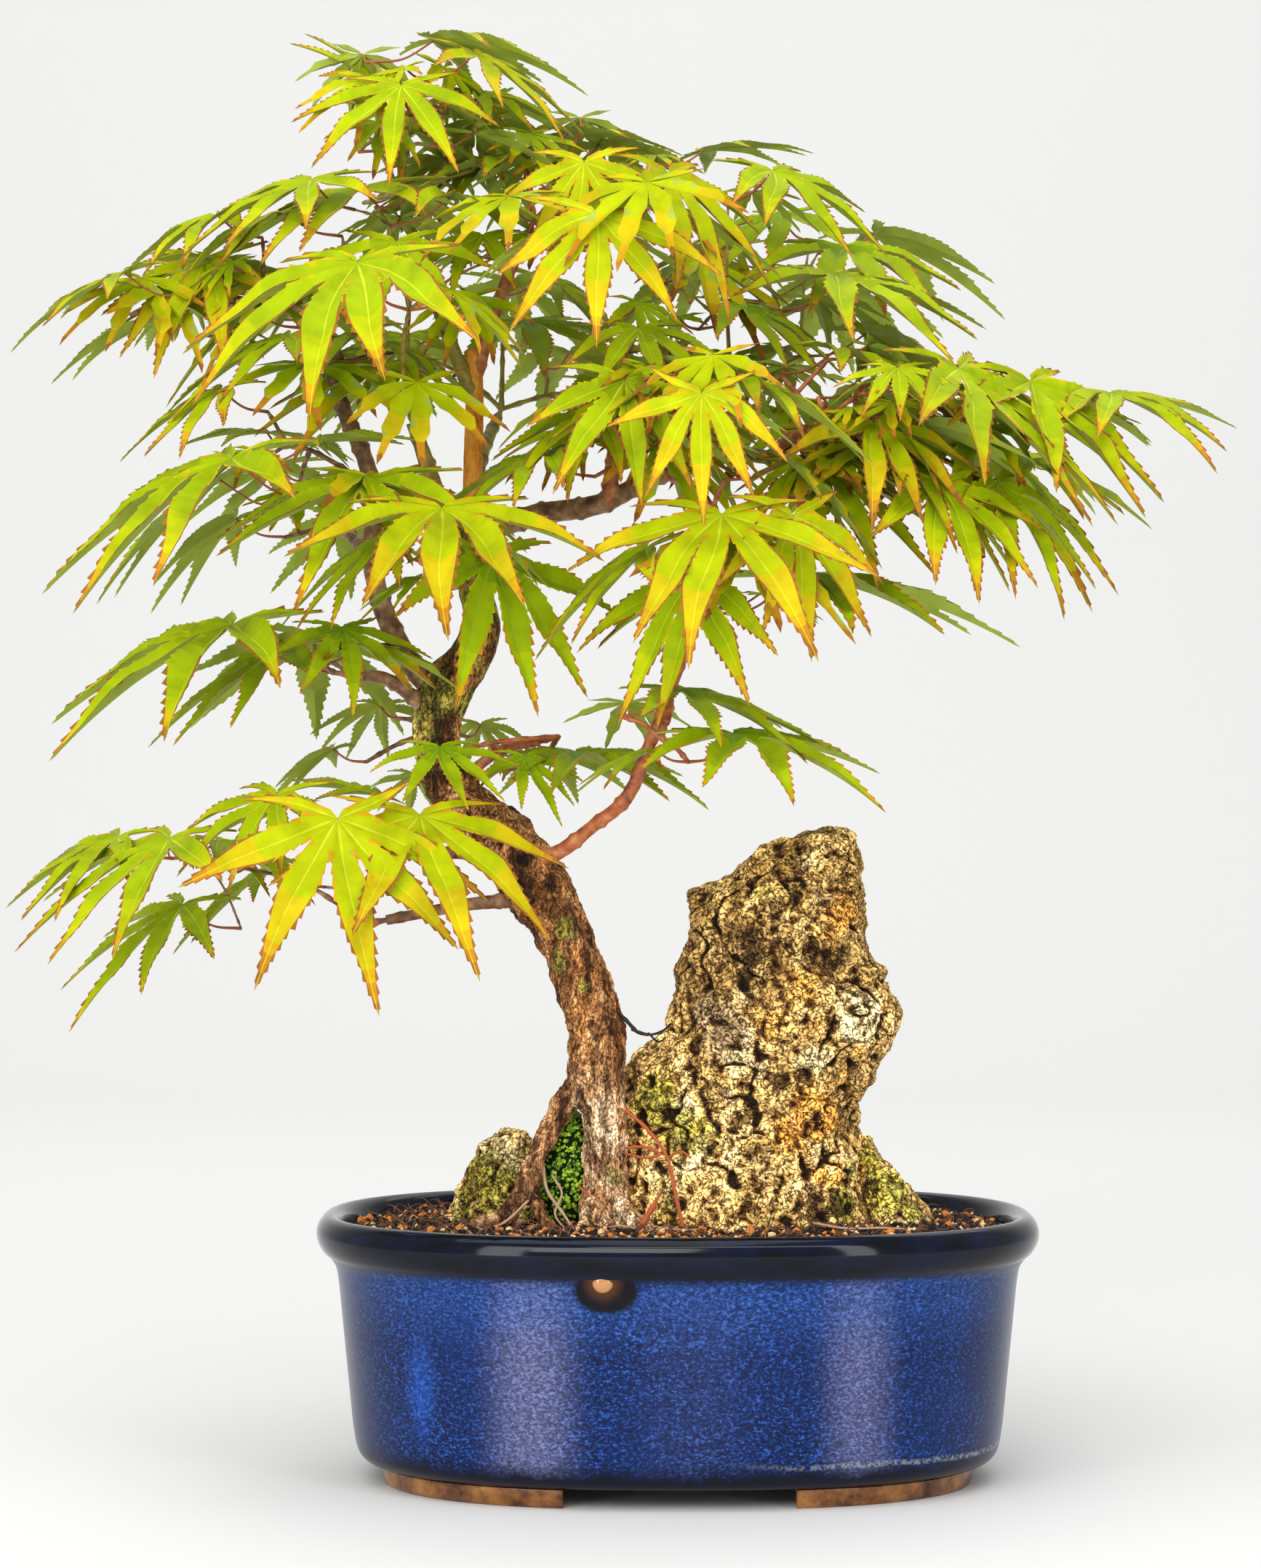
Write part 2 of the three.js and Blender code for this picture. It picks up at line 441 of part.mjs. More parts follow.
// One leaf as a thin lens with a sharp rim, and its stalk and twig as a three-sided tube
// that leaves its back through the points of the route
function leafSolid(leaf, route, swell) {
  const frame = leafFrame(leaf);
  const { ahead, left, above } = frame;
  const points = [];
  const faces = [];
  const add = (point) => points.push(point) - 1;
  const rim = (turn, reach, aside) => add(lobePoint(leaf, frame, turn, reach, aside));
  const top = add(leaf.hub.clone().addScaledVector(above, LEAF_HALF_THICKNESS + swell));
  const bottom = add(leaf.hub.clone().addScaledVector(above, -LEAF_HALF_THICKNESS - swell));
  const outline = [rim(-STALK_SIDE, STALK_NOTCH_AT * leaf.size + swell, 0)];
  LOBES.forEach((lobe, i) => {
    const length = lobe.length * leaf.size;
    const wide = LOBE_HALF_WIDTH * leaf.size * (0.5 + lobe.length / 2) + swell;
    if (!lobe.small) outline.push(rim(lobe.turn, SHOULDER_AT * length, -wide));
    outline.push(rim(lobe.turn, length + swell, 0));
    if (!lobe.small) outline.push(rim(lobe.turn, SHOULDER_AT * length, wide));
    const following = LOBES[i + 1];
    if (following) outline.push(rim((lobe.turn + following.turn) / 2, NOTCH_AT * leaf.size + swell, 0));
  });
  outline.push(rim(STALK_SIDE, STALK_NOTCH_AT * leaf.size + swell, 0));
  for (let i = 1; i < outline.length; i++) {
    faces.push(outline[i - 1], outline[i], top);
    faces.push(outline[i], outline[i - 1], bottom);
  }
  let mouth = [outline[0], top, outline.at(-1), bottom];
  const spots = [leaf.hub, ...route.map((node) => node.spot)];
  let side = left.clone().negate();
  let upward = above.clone();
  let heading = ahead.clone().negate();
  route.forEach((node, i) => {
    const onward = (spots[i + 2] ?? spots[i + 1]).clone().sub(spots[i]).normalize();
    const bend = new THREE.Quaternion().setFromUnitVectors(heading, onward);
    side = side.clone().applyQuaternion(bend);
    upward = upward.clone().applyQuaternion(bend);
    heading = onward;
    const radius = twigRadius(node.travelled) + swell;
    const ring = TWIG_RING.map(([across, up]) => add(node.spot.clone()
      .addScaledVector(side, across * radius).addScaledVector(upward, up * radius)));
    faces.push(mouth[0], mouth[1], ring[1], mouth[0], ring[1], ring[0]);
    faces.push(mouth[1], mouth[2], ring[2], mouth[1], ring[2], ring[1]);
    if (mouth.length === 4) {
      faces.push(mouth[2], mouth[3], ring[2], mouth[3], mouth[0], ring[0], mouth[3], ring[0], ring[2]);
    } else {
      faces.push(mouth[2], mouth[0], ring[0], mouth[2], ring[0], ring[2]);
    }
    mouth = ring;
  });
  faces.push(mouth[0], mouth[1], mouth[2]);
  if (mouth.length === 4) faces.push(mouth[0], mouth[2], mouth[3]);
  const geometry = new THREE.BufferGeometry().setFromPoints(points);
  geometry.setIndex(faces);
  return solidOf(geometry);
}

function leafFrame(leaf) {
  const turned = rad(leaf.heading);
  const left = vec(-Math.sin(turned), Math.cos(turned), 0);
  const ahead = vec(Math.cos(turned), Math.sin(turned), 0).applyAxisAngle(left, rad(leaf.fall));
  return { ahead, left, above: ahead.clone().cross(left) };
}

// A point of a lobe: its slope steepens from the hub to the tip
function lobePoint(leaf, frame, turn, reach, aside) {
  const along = frame.ahead.clone().multiplyScalar(Math.cos(rad(turn)))
    .addScaledVector(frame.left, Math.sin(rad(turn)));
  const across = frame.above.clone().cross(along);
  const level = vec(along.x, along.y, 0).normalize();
  const start = Math.asin(along.z);
  const hang = rad(LOBE_HANG) * Math.max(Math.cos(start), 0.1) / leaf.size;
  const end = start - hang * reach;
  return leaf.hub.clone()
    .addScaledVector(level, (Math.sin(start) - Math.sin(end)) / hang)
    .add(vec(0, 0, (Math.cos(end) - Math.cos(start)) / hang))
    .addScaledVector(across, aside);
}

// The foot of a leaf's stalk lies behind and below its hub
function stalkFoot(leaf) {
  const turned = rad(leaf.heading);
  const long = STALK_LENGTH * leaf.size;
  return leaf.hub.clone().sub(vec(
    Math.cos(turned) * Math.cos(rad(STALK_RISE)) * long,
    Math.sin(turned) * Math.cos(rad(STALK_RISE)) * long,
    Math.sin(rad(STALK_RISE)) * long));
}

// Twigs thin out with their distance from the bough
function twigRadius(travelled) {
  return Math.max(STALK_RADIUS, TWIG_RADIUS * (1 - travelled / TWIG_REACH));
}

// A new twig leaves the node that makes the shortest way home
function nearestNode(nodes, spot) {
  const way = (node) => node.spot.distanceTo(spot) + WAY_HOME * node.travelled;
  return nodes.reduce((best, node) => (way(node) < way(best) ? node : best));
}

// The way from the foot of a leaf's stalk back to the node that carries it
function twigTo(nodes, leaf, seed) {
  const roll = dice(seed);
  const foot = leaf.foot ?? stalkFoot(leaf);
  const from = nearestNode(nodes, foot);
  const span = from.spot.distanceTo(foot);
  if (span < SHORTEST_TWIG) return [from];
  const middle = from.spot.clone().lerp(foot, 0.5);
  middle.add(vec(roll(-0.06, 0.06) * span, roll(-0.06, 0.06) * span, roll(0, 0.1) * span));
  return [
    { spot: foot, travelled: from.travelled + span },
    { spot: middle, travelled: from.travelled + span / 2 },
    from,
  ];
}

function leadLeaves(mass) {
  return mass.leads.map(([x, y, z, heading, fall, size]) => ({ hub: vec(x, y, z), heading, fall, size }));
}

function mateLeaves(mass, seed) {
  const roll = dice(seed);
  return mass.leads.flatMap((lead, i) => {
    const leader = leadLeaves(mass)[i];
    const foot = stalkFoot(leader);
    return Array.from({ length: lead[6] }, (_, k) => {
      const side = (i + k) % 2 ? 1 : -1;
      const size = leader.size * MATE_SHARE * roll(0.9, 1.05);
      const heading = leader.heading + side * (MATE_TURN + roll(-12, 12));
      const mate = { hub: foot.clone(), heading, fall: Math.abs(leader.fall) * 0.6 + roll(4, 18), size };
      mate.hub.add(foot.clone().sub(stalkFoot(mate)));
      mate.foot = foot;
      return mate;
    });
  });
}

function padLeaves(mass, seed) {
  if (!mass.pad) return [];
  const roll = dice(seed);
  const { middle, radii, count, size } = mass.pad;
  return Array.from({ length: count }, (_, i) => {
    const heading = i * GOLDEN_ANGLE + seed * 40;
    const level = 1 - 1.2 * (i + 0.5) / count;
    const out = Math.sqrt(1 - level * level);
    const hub = vec(
      middle[0] + radii[0] * out * Math.cos(rad(heading)),
      middle[1] + radii[1] * out * Math.sin(rad(heading)),
      middle[2] + radii[2] * level);
    return { hub, heading: heading + roll(-15, 15), fall: roll(15, 40), size: size * roll(0.85, 1.1) };
  });
}

// Build the limbs
const solids = { trunk: makeTrunk(0) };
const swollen = { trunk: makeTrunk(GAP) };
const limbs = [solids.trunk];
for (const [name, bough] of Object.entries(BOUGHS)) {
  const steps = 2 * (bough.stations.length - 1);
  const whole = limb(bough.stations, LIMB_SIDES, steps).subtract(swollen[bough.on]);
  solids[`bough_${name}`] = mainBody(whole);
  swollen[name] = limb(bough.stations, LIMB_SIDES, steps, GAP);
  limbs.push(solids[`bough_${name}`]);
}

// Stones, moss and soil stand clear of the trunk
solids.pot = makePot();
solids.foot_front_left = makeFoot(-1, -1);
solids.foot_front_right = makeFoot(1, -1);
solids.foot_back_left = makeFoot(-1, 1);
solids.foot_back_right = makeFoot(1, 1);
solids.soil = makeSoil();
solids.stone_tall = mainBody(stone(STONES.tall).subtract(swollen.trunk));
solids.stone_left = mainBody(stone(STONES.left).subtract(swollen.trunk));
solids.stone_right = mainBody(stone(STONES.right).subtract(stone(STONES.tall, 2 * GAP)));
solids.moss = mainBody(makeMoss().subtract(swollen.trunk));
const ground = [solids.stone_tall, solids.stone_left, solids.stone_right];

// Grow the foliage: lead leaves first, then their mates, then the pads
const grown = MASSES.map((mass, i) => {
  const { stations } = BOUGHS[mass.bough];
  const tip = vec(...stations.at(-1).slice(0, 3));
  const curve = new THREE.CatmullRomCurve3(stations.map(([x, y, z]) => vec(x, y, z)));
  const onward = curve.getTangent(1);
  const foot = tip.clone().addScaledVector(onward, GAP);
  const start = tip.clone().addScaledVector(onward, FIRST_NODE);
  const stem = sweep([foot, start.clone().addScaledVector(onward, 1)], [TWIG_RADIUS, TWIG_RADIUS], 4);
  return {
    name: mass.name,
    nodes: [{ spot: start, travelled: FIRST_NODE }],
    pieces: [stem],
    turns: [leadLeaves(mass), mateLeaves(mass, MATE_SEED + i), padLeaves(mass, PAD_SEED + i)],
    seed: LEAD_SEED * (i + 1),
  };
});

function touches(piece, others) {
  const a = piece.boundingBox();
  return others.some((other) => {
    const b = other.boundingBox();
    const apart = [0, 1, 2].some((k) => a.min[k] > b.max[k] || b.min[k] > a.max[k]);
    return !apart && piece.intersect(other).volume() > 0;
  });
}

// A leaf that touches something is tried again a little turned and moved, and then left out
function seatLeaf(mass, leaf, own, others, seed) {
  for (const nudge of [0, 1, -1, 2, -2]) {
    const hub = leaf.hub.clone().add(vec(0, 0, NUDGE_LIFT * nudge));
    const moved = { ...leaf, hub, heading: leaf.heading + NUDGE_TURN * nudge };
    const route = twigTo(mass.nodes, moved, seed);
    const hitsOwn = touches(leafSolid(moved, [], GAP), own);
    if (!hitsOwn && !touches(leafSolid(moved, route, GAP), others)) {
      mass.nodes.push(...route.slice(0, -1));
      mass.pieces.push(leafSolid(moved, route, 0));
      return;
    }
  }
}

for (const turn of [0, 1, 2]) {
  for (const mass of grown) {
    const neighbours = grown.filter((other) => other !== mass).flatMap((other) => other.pieces);
    const others = [...limbs, ...ground, ...neighbours];
    const own = turn === 0 ? [] : mass.pieces;
    const seed = mass.seed + TURN_SEED * turn;
    mass.turns[turn].forEach((leaf, i) => seatLeaf(mass, leaf, own, others, seed + i));
  }
}
for (const mass of grown) {
  solids[mass.name] = mainBody(mass.pieces.reduce((all, piece) => all.add(piece)));
}

const bonsai = new THREE.Group();
const finishes = {
  pot: [0x24408f, 0.15],
  foot: [0x8a5638, 0.8],
  soil: [0x3a2415, 1],
  moss: [0x4c6a1e, 1],
  stone: [0xa08a62, 0.9],
  trunk: [0x7d6240, 0.85],
  bough: [0x8a5a2c, 0.7],
  leaves: [0xa9c61e, 0.5],
};
for (const [name, solid] of Object.entries(solids)) {
  const [color, roughness] = finishes[name.split('_')[0]];
  const finish = new THREE.MeshStandardMaterial({ color, roughness, metalness: 0 });
  const mesh = new THREE.Mesh(geometryOf(solid), finish);
  mesh.name = name;
  bonsai.add(mesh);
}
bonsai.position.set(-BOX_CENTRE_X, -BOX_CENTRE_Y, 0);

export default bonsai;
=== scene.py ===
"""Looks of the potted maple bonsai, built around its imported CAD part. Lengths are millimetres from the
middle of the pot until a piece is made, and metres in the row frame from then on."""
import math

import bmesh
import bpy
import numpy as np
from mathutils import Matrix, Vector, noise


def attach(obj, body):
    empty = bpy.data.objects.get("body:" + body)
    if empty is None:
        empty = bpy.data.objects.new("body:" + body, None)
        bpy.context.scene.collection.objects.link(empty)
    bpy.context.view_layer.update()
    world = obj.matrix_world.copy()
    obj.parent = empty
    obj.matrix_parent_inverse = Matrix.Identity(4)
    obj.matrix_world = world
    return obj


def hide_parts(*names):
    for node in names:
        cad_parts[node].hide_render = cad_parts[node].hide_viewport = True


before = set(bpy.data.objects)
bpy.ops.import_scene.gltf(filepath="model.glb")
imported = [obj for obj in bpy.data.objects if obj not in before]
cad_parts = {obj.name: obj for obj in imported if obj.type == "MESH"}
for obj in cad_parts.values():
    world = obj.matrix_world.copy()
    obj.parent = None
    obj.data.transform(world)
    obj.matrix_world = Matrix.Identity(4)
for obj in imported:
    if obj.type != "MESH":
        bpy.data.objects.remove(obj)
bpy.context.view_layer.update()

MM = 0.001
POT_TO_ROW = np.array([17.2, 10.4, 0.0])


def metres(points):
    return (np.asarray(points, float) + POT_TO_ROW) * MM


def dice(seed):
    """Seeded dice, the same as in the part's source."""
    state = (seed * 7919) % 2147483647 + 1

    def roll(low, high):
        nonlocal state
        state = (state * 16807) % 2147483647
        return low + (high - low) * state / 2147483647

    return roll


# Materials
def new_material(name, roughness, base=None, **sockets):
    material = bpy.data.materials.new(name)
    material.use_nodes = True
    shader = material.node_tree.nodes["Principled BSDF"]
    shader.inputs["Roughness"].default_value = roughness
    if base is not None:
        shader.inputs["Base Color"].default_value = (*base, 1)
    for socket, value in sockets.items():
        shader.inputs[socket.replace("_", " ")].default_value = value
    return material


def patterned(name, roughness, **sockets):
    """A material, its node tree and the Object coordinates that its patterns read."""
    material = new_material(name, roughness, **sockets)
    tree = material.node_tree
    return material, tree, tree.nodes.new("ShaderNodeTexCoord").outputs["Object"]


def link(material, output, socket):
    shader = material.node_tree.nodes["Principled BSDF"]
    material.node_tree.links.new(output, shader.inputs[socket])


def plug(tree, value, socket):
    """Links an output to a socket, or sets the socket to a number, a vector or a colour."""
    if isinstance(value, bpy.types.NodeSocket):
        tree.links.new(value, socket)
    elif socket.type == "RGBA":
        socket.default_value = (*value, 1)
    else:
        socket.default_value = value


def add_node(tree, kind, settings=None, **inputs):
    node = tree.nodes.new(kind)
    for key, value in (settings or {}).items():
        setattr(node, key, value)
    for key, value in inputs.items():
        plug(tree, value, node.inputs[key.replace("_", " ")])
    return node


def ramp(tree, factor, stops):
    """Colours, or greys given as one number, along a value from 0 to 1."""
    node = tree.nodes.new("ShaderNodeValToRGB")
    tree.links.new(factor, node.inputs["Fac"])
    elements = node.color_ramp.elements
    while len(elements) < len(stops):
        elements.new(0.5)
    for element, (place, colour) in zip(elements, stops):
        element.position = place
        element.color = (*colour, 1) if isinstance(colour, tuple) else (colour, colour, colour, 1)
    return node.outputs["Color"]


def blend_colours(tree, share, first, second, way="MIX"):
    node = tree.nodes.new("ShaderNodeMix")
    node.data_type = "RGBA"
    node.blend_type = way
    for value, socket in ((share, node.inputs[0]), (first, node.inputs[6]), (second, node.inputs[7])):
        plug(tree, value, socket)
    return node.outputs[2]


def layered(tree, colour, layers):
    """A colour under a row of layers, each [its share, its colour, and its way if it isn't plainly mixed]."""
    for share, over, *way in layers:
        colour = blend_colours(tree, share, colour, over, *way)
    return colour


def grains(tree, place, scale, detail=3.0, roughness=0.6):
    node = add_node(tree, "ShaderNodeTexNoise", Vector=place, Scale=scale, Detail=detail, Roughness=roughness)
    return node.outputs["Fac"]


def maths(tree, operation, *values):
    node = add_node(tree, "ShaderNodeMath", {"operation": operation})
    for value, socket in zip(values, node.inputs):
        plug(tree, value, socket)
    return node.outputs[0]


def times(tree, first, second):
    return maths(tree, "MULTIPLY", first, second)


def distance(tree, place, spot):
    node = add_node(tree, "ShaderNodeVectorMath", {"operation": "DISTANCE"}, Vector=place)
    plug(tree, spot, node.inputs[1])
    return node.outputs["Value"]


def fade(tree, value, start, end, low=0.0, high=1.0, **settings):
    """Goes from low to high while the value goes from start to end."""
    return add_node(tree, "ShaderNodeMapRange", settings, Value=value, From_Min=start, From_Max=end,
                    To_Min=low, To_Max=high).outputs["Result"]


def axes(tree, place):
    return add_node(tree, "ShaderNodeSeparateXYZ", Vector=place).outputs


def stretched(tree, place, scale):
    return add_node(tree, "ShaderNodeMapping", Vector=place, Scale=scale).outputs["Vector"]


def new_group(name, inputs, output):
    """An empty shader node group with named inputs: the group, its inputs and a way to end it."""
    group = bpy.data.node_groups.new(name, "ShaderNodeTree")
    for label, kind in inputs.items():
        group.interface.new_socket(name=label, in_out="INPUT", socket_type=f"NodeSocket{kind}")
    group.interface.new_socket(name=output, in_out="OUTPUT", socket_type="NodeSocketFloat")
    given = group.nodes.new("NodeGroupInput").outputs
    taken = group.nodes.new("NodeGroupOutput").inputs
    return group, given, lambda value: group.links.new(value, taken[output])


def creases_group():
    """How far a spot lies from the nearest winding crease, from 0 up."""
    group, given, end = new_group("creases", {"Place": "Vector", "Scale": "Float"}, "Away")
    broader = times(group, given["Scale"], 0.4)
    wander = add_node(group, "ShaderNodeTexNoise", Vector=given["Place"], Scale=broader, Detail=3.0)
    bent = blend_colours(group, maths(group, "DIVIDE", 2.2, given["Scale"]), given["Place"],
                         wander.outputs["Color"], "ADD")
    maze = grains(group, bent, given["Scale"], 1.5, 0.5)
    end(maths(group, "ABSOLUTE", maths(group, "SUBTRACT", maze, 0.5)))
    return group


def mark_group():
    """A soft round mark that is at its strength in the middle."""
    group, given, end = new_group("mark", {"Place": "Vector", "Middle": "Vector", "Radius": "Float",
                                           "Strength": "Float"}, "Mask")
    radii = maths(group, "DIVIDE", distance(group, given["Place"], given["Middle"]), given["Radius"])
    end(times(group, fade(group, radii, 1.7, 0.2, interpolation_type="SMOOTHSTEP"), given["Strength"]))
    return group


def stain_group():
    """Turns soft marks into a mask with a ragged edge."""
    group, given, end = new_group("stain", {"Place": "Vector", "Marks": "Float", "Scale": "Float",
                                            "Unevenness": "Float"}, "Mask")
    rough = grains(group, given["Place"], given["Scale"], 5.0, 0.68)
    edge = times(group, maths(group, "SUBTRACT", rough, 0.5), given["Unevenness"])
    end(fade(group, maths(group, "ADD", given["Marks"], edge), 0.3, 0.7))
    return group


CREASES, MARK, STAIN = creases_group(), mark_group(), stain_group()


def wrinkled(tree, place, scale):
    return add_node(tree, "ShaderNodeGroup", {"node_tree": CREASES}, Place=place, Scale=scale).outputs["Away"]


def mark(tree, place, middle, radius, strength):
    return add_node(tree, "ShaderNodeGroup", {"node_tree": MARK}, Place=place, Middle=Vector(middle),
                    Radius=radius * MM, Strength=strength).outputs["Mask"]


def stain(tree, place, marks, front, scale, unevenness):
    """A ragged mask of marks, each [x, z, radius, strength] on a surface at y = front."""
    total = 0.0
    for x, z, radius, strength in marks:
        total = maths(tree, "MAXIMUM", total, mark(tree, place, metres([x, front, z]), radius, strength))
    return add_node(tree, "ShaderNodeGroup", {"node_tree": STAIN}, Place=place, Marks=total,
                    Scale=scale, Unevenness=unevenness).outputs["Mask"]


def bump_from(material, height, strength, distance):
    node = add_node(material.node_tree, "ShaderNodeBump", Strength=strength, Distance=distance, Height=height)
    link(material, node.outputs["Normal"], "Normal")


def grainy(name, roughness, grain, stops, bumps=None, scale=(1, 1, 1), **sockets):
    """A material with one field of grains in its colour, and bumps of [grain, strength, depth] if rough."""
    material, tree, place = patterned(name, roughness, **sockets)
    link(material, ramp(tree, grains(tree, stretched(tree, place, scale), *grain), stops), "Base Color")
    if bumps:
        bump_from(material, grains(tree, place, bumps[0]), *bumps[1:])
    return material


# Pieces
def in_scene(name, data):
    made = bpy.data.objects.new(name, data)
    bpy.context.scene.collection.objects.link(made)
    return made


def as_piece(name, mesh, materials, smooth=True, sharp_angle=None):
    for material in materials:
        mesh.materials.append(material)
    mesh.name = name
    mesh.shade_smooth() if smooth else mesh.shade_flat()
    if sharp_angle:
        mesh.set_sharp_from_angle(angle=math.radians(sharp_angle))
    return in_scene(name, mesh)


def dress(name, mesh, materials, slot, replaces=(), **finish):
    piece = as_piece(name, mesh, materials, **finish)
    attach(piece, "root")
    if replaces:
        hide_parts(*replaces)
    return piece


def mesh_from_arrays(points, faces):
    mesh = bpy.data.meshes.new("joined")
    mesh.from_pydata(metres(points).tolist(), [], faces)
    return mesh


def mesh_from_bmesh(bm):
    mesh = bpy.data.meshes.new("made")
    bm.to_mesh(mesh)
    bm.free()
    return mesh


def ball_bmesh(columns, rows, radii=(1, 1, 1), middle=(0, 0, 0)):
    bm = bmesh.new()
    bmesh.ops.create_uvsphere(bm, u_segments=columns, v_segments=rows, radius=1)
    bmesh.ops.scale(bm, vec=radii, verts=bm.verts)
    bmesh.ops.translate(bm, vec=middle, verts=bm.verts)
    return bm


def mesh_from_mm(bm):
    for corner in bm.verts:
        corner.co = Vector(metres(corner.co))
    return mesh_from_bmesh(bm)


def smooth_skin(bm, rounds):
    for _ in range(rounds):
        bmesh.ops.smooth_vert(bm, verts=bm.verts, factor=0.5, use_axis_x=True, use_axis_y=True, use_axis_z=True)


def evaluated(mesh, kind, **settings):
    """The mesh after a modifier."""
    holder = in_scene("holder", mesh)
    modifier = holder.modifiers.new(kind.lower(), kind)
    for key, value in settings.items():
        setattr(modifier, key, value)
    graph = bpy.context.evaluated_depsgraph_get()
    made = bpy.data.meshes.new_from_object(holder.evaluated_get(graph))
    bpy.data.objects.remove(holder)
    return made


def read_vectors(mesh, key):
    values = np.empty(3 * len(mesh.vertices))
    mesh.vertices.foreach_get(key, values)
    return values.reshape(-1, 3)


def push_along_normals(mesh, depth_at):
    """Moves each point along its normal by depth_at(point in mm) mm."""
    spots = read_vectors(mesh, "co")
    depths = np.array([depth_at(Vector(spot)) for spot in spots / MM - POT_TO_ROW])
    spots += read_vectors(mesh, "normal") * depths[:, None] * MM
    mesh.vertices.foreach_set("co", spots.ravel())
    mesh.update()
    return depths


def keep_relief(mesh, depths, passes, gain):
    """Stores how far each point stands out from the skin round it: 0 deep, 0.5 level, 1 high."""
    pairs = np.empty(2 * len(mesh.edges), np.int32)
    mesh.edges.foreach_get("vertices", pairs)
    first, second = pairs.reshape(-1, 2).T
    neighbours = np.bincount(pairs, minlength=len(depths))
    level = depths.copy()
    for _ in range(passes):
        total = np.bincount(first, level[second], len(depths)) + np.bincount(second, level[first], len(depths))
        level = (level + total / np.maximum(neighbours, 1)) / 2
    relief = np.clip(0.5 + (depths - level) * gain, 0, 1)
    mesh.attributes.new("relief", "FLOAT", "POINT").data.foreach_set("value", relief.astype(np.float32))


def relief_light_and_shade(tree, stops):
    """Painted shade for the hollows and painted light for the high places of a piece that keeps its relief."""
    return ramp(tree, add_node(tree, "ShaderNodeAttribute", {"attribute_name": "relief"}).outputs["Fac"], stops)


# Lines and tubes
def curve_through(stations, steps):
    """The centripetal curve that the part's source draws, with the radius as a fourth value."""
    knots = np.array(stations, float)
    spots = knots[:, :3]
    spots = np.vstack([2 * spots[0] - spots[1], spots, 2 * spots[-1] - spots[-2]])
    made = []
    for step in range(steps + 1):
        place = step / steps * (len(knots) - 1)
        k = min(int(place), len(knots) - 2)
        w = place - k
        p0, p1, p2, p3 = spots[k:k + 4]
        d0, d1, d2 = (max(np.linalg.norm(b - a), 1e-6) ** 0.5 for a, b in ((p0, p1), (p1, p2), (p2, p3)))
        t1 = ((p1 - p0) / d0 - (p2 - p0) / (d0 + d1) + (p2 - p1) / d1) * d1
        t2 = ((p2 - p1) / d1 - (p3 - p1) / (d1 + d2) + (p3 - p2) / d2) * d1
        spot = p1 + t1 * w + (3 * (p2 - p1) - 2 * t1 - t2) * w * w + (2 * (p1 - p2) + t1 + t2) * w ** 3
        made.append((*spot, *(knots[k, 3:] + (knots[k + 1, 3:] - knots[k, 3:]) * w)))
    return np.array(made)


def smooth_line(stations, steps_each):
    return curve_through(stations, steps_each * (len(stations) - 1))


def knuckled(line, seed, spacing=9.0, swelling=0.22):
    """Thickens a line a little at the nodes where old leaf pairs stood."""
    roll = dice(seed)
    lengths = np.concatenate([[0], np.cumsum(np.linalg.norm(np.diff(line[:, :3], axis=0), axis=1))])
    thicker = line.copy()
    at = spacing * roll(0.3, 0.8)
    while at < lengths[-1]:
        thicker[:, 3] *= 1 + swelling * np.exp(-((lengths - at) / 0.9) ** 2)
        at += spacing * roll(0.7, 1.3)
    return thicker


def tube_mesh(lines, bevel_resolution):
    """One mesh of round tubes along lines of [x, y, z, radius]."""
    curve = bpy.data.curves.new("lines", "CURVE")
    curve.dimensions = "3D"
    curve.bevel_depth = MM
    curve.bevel_resolution = bevel_resolution
    curve.use_fill_caps = True
    for line in lines:
        spline = curve.splines.new("POLY")
        spline.points.add(len(line) - 1)
        spots = np.hstack([metres(line[:, :3]), np.ones((len(line), 1))])
        spline.points.foreach_set("co", spots.ravel())
        spline.points.foreach_set("radius", line[:, 3])
    holder = bpy.data.objects.new("lines", curve)
    mesh = bpy.data.meshes.new_from_object(holder)
    bpy.data.objects.remove(holder)
    bm = bmesh.new()
    bm.from_mesh(mesh)
    bmesh.ops.remove_doubles(bm, verts=bm.verts, dist=1e-6)
    bmesh.ops.recalc_face_normals(bm, faces=bm.faces)
    bm.to_mesh(mesh)
    bm.free()
    return mesh


# Pot
DEPTH_SHARE = 168 / 220
SQUARENESS = 2.45
POT_PROFILE = [
    [0, 6], [80, 6], [91, 6], [94.5, 6.6], [97, 8.8], [98.3, 13], [100.2, 30], [102.2, 50], [103.4, 61.5],
    [104.2, 65.2], [105.8, 67.6], [108, 69.6], [109.5, 72.2], [110, 75], [109.4, 77.6], [107.8, 79.7],
    [105.8, 80.5], [103.9, 80.1], [102.2, 78.7], [101.4, 76.6], [100.6, 73], [99, 67.5], [93, 18], [87, 12],
    [0, 12],
]
SPIN_STEPS = 160
DRAIN_RADIUS = 6
DRAIN_OFF_MIDDLE, DRAIN_HEIGHT = 40, 6
DRAIN_CUT = 24
RIM_FROM = 0.0685
# Heights in metres from which and up to which the glaze changes: paler under the rim, dark at the rim and the
# foot; how far it is from the middle to the dark ends; and where the line of lime runs and fades in
UNDER_RIM, AT_RIM, AT_FOOT = (0.046, 0.060), (0.0660, RIM_FROM), (0.0145, 0.0095)
TO_ENDS = (0.080, 0.104)
LIME_HEIGHT, LIME_WIDTH, LIME_FROM = 0.0165, (0.0011, 0.0003), (0.030, 0.070)
# Painted reflections, as soft pale bands on the glaze: x of the middle, half width and strength
PAINTED_REFLECTION_BANDS = [[-43, 20, 1.0], [52, 16, 0.8], [4, 26, 0.12]]
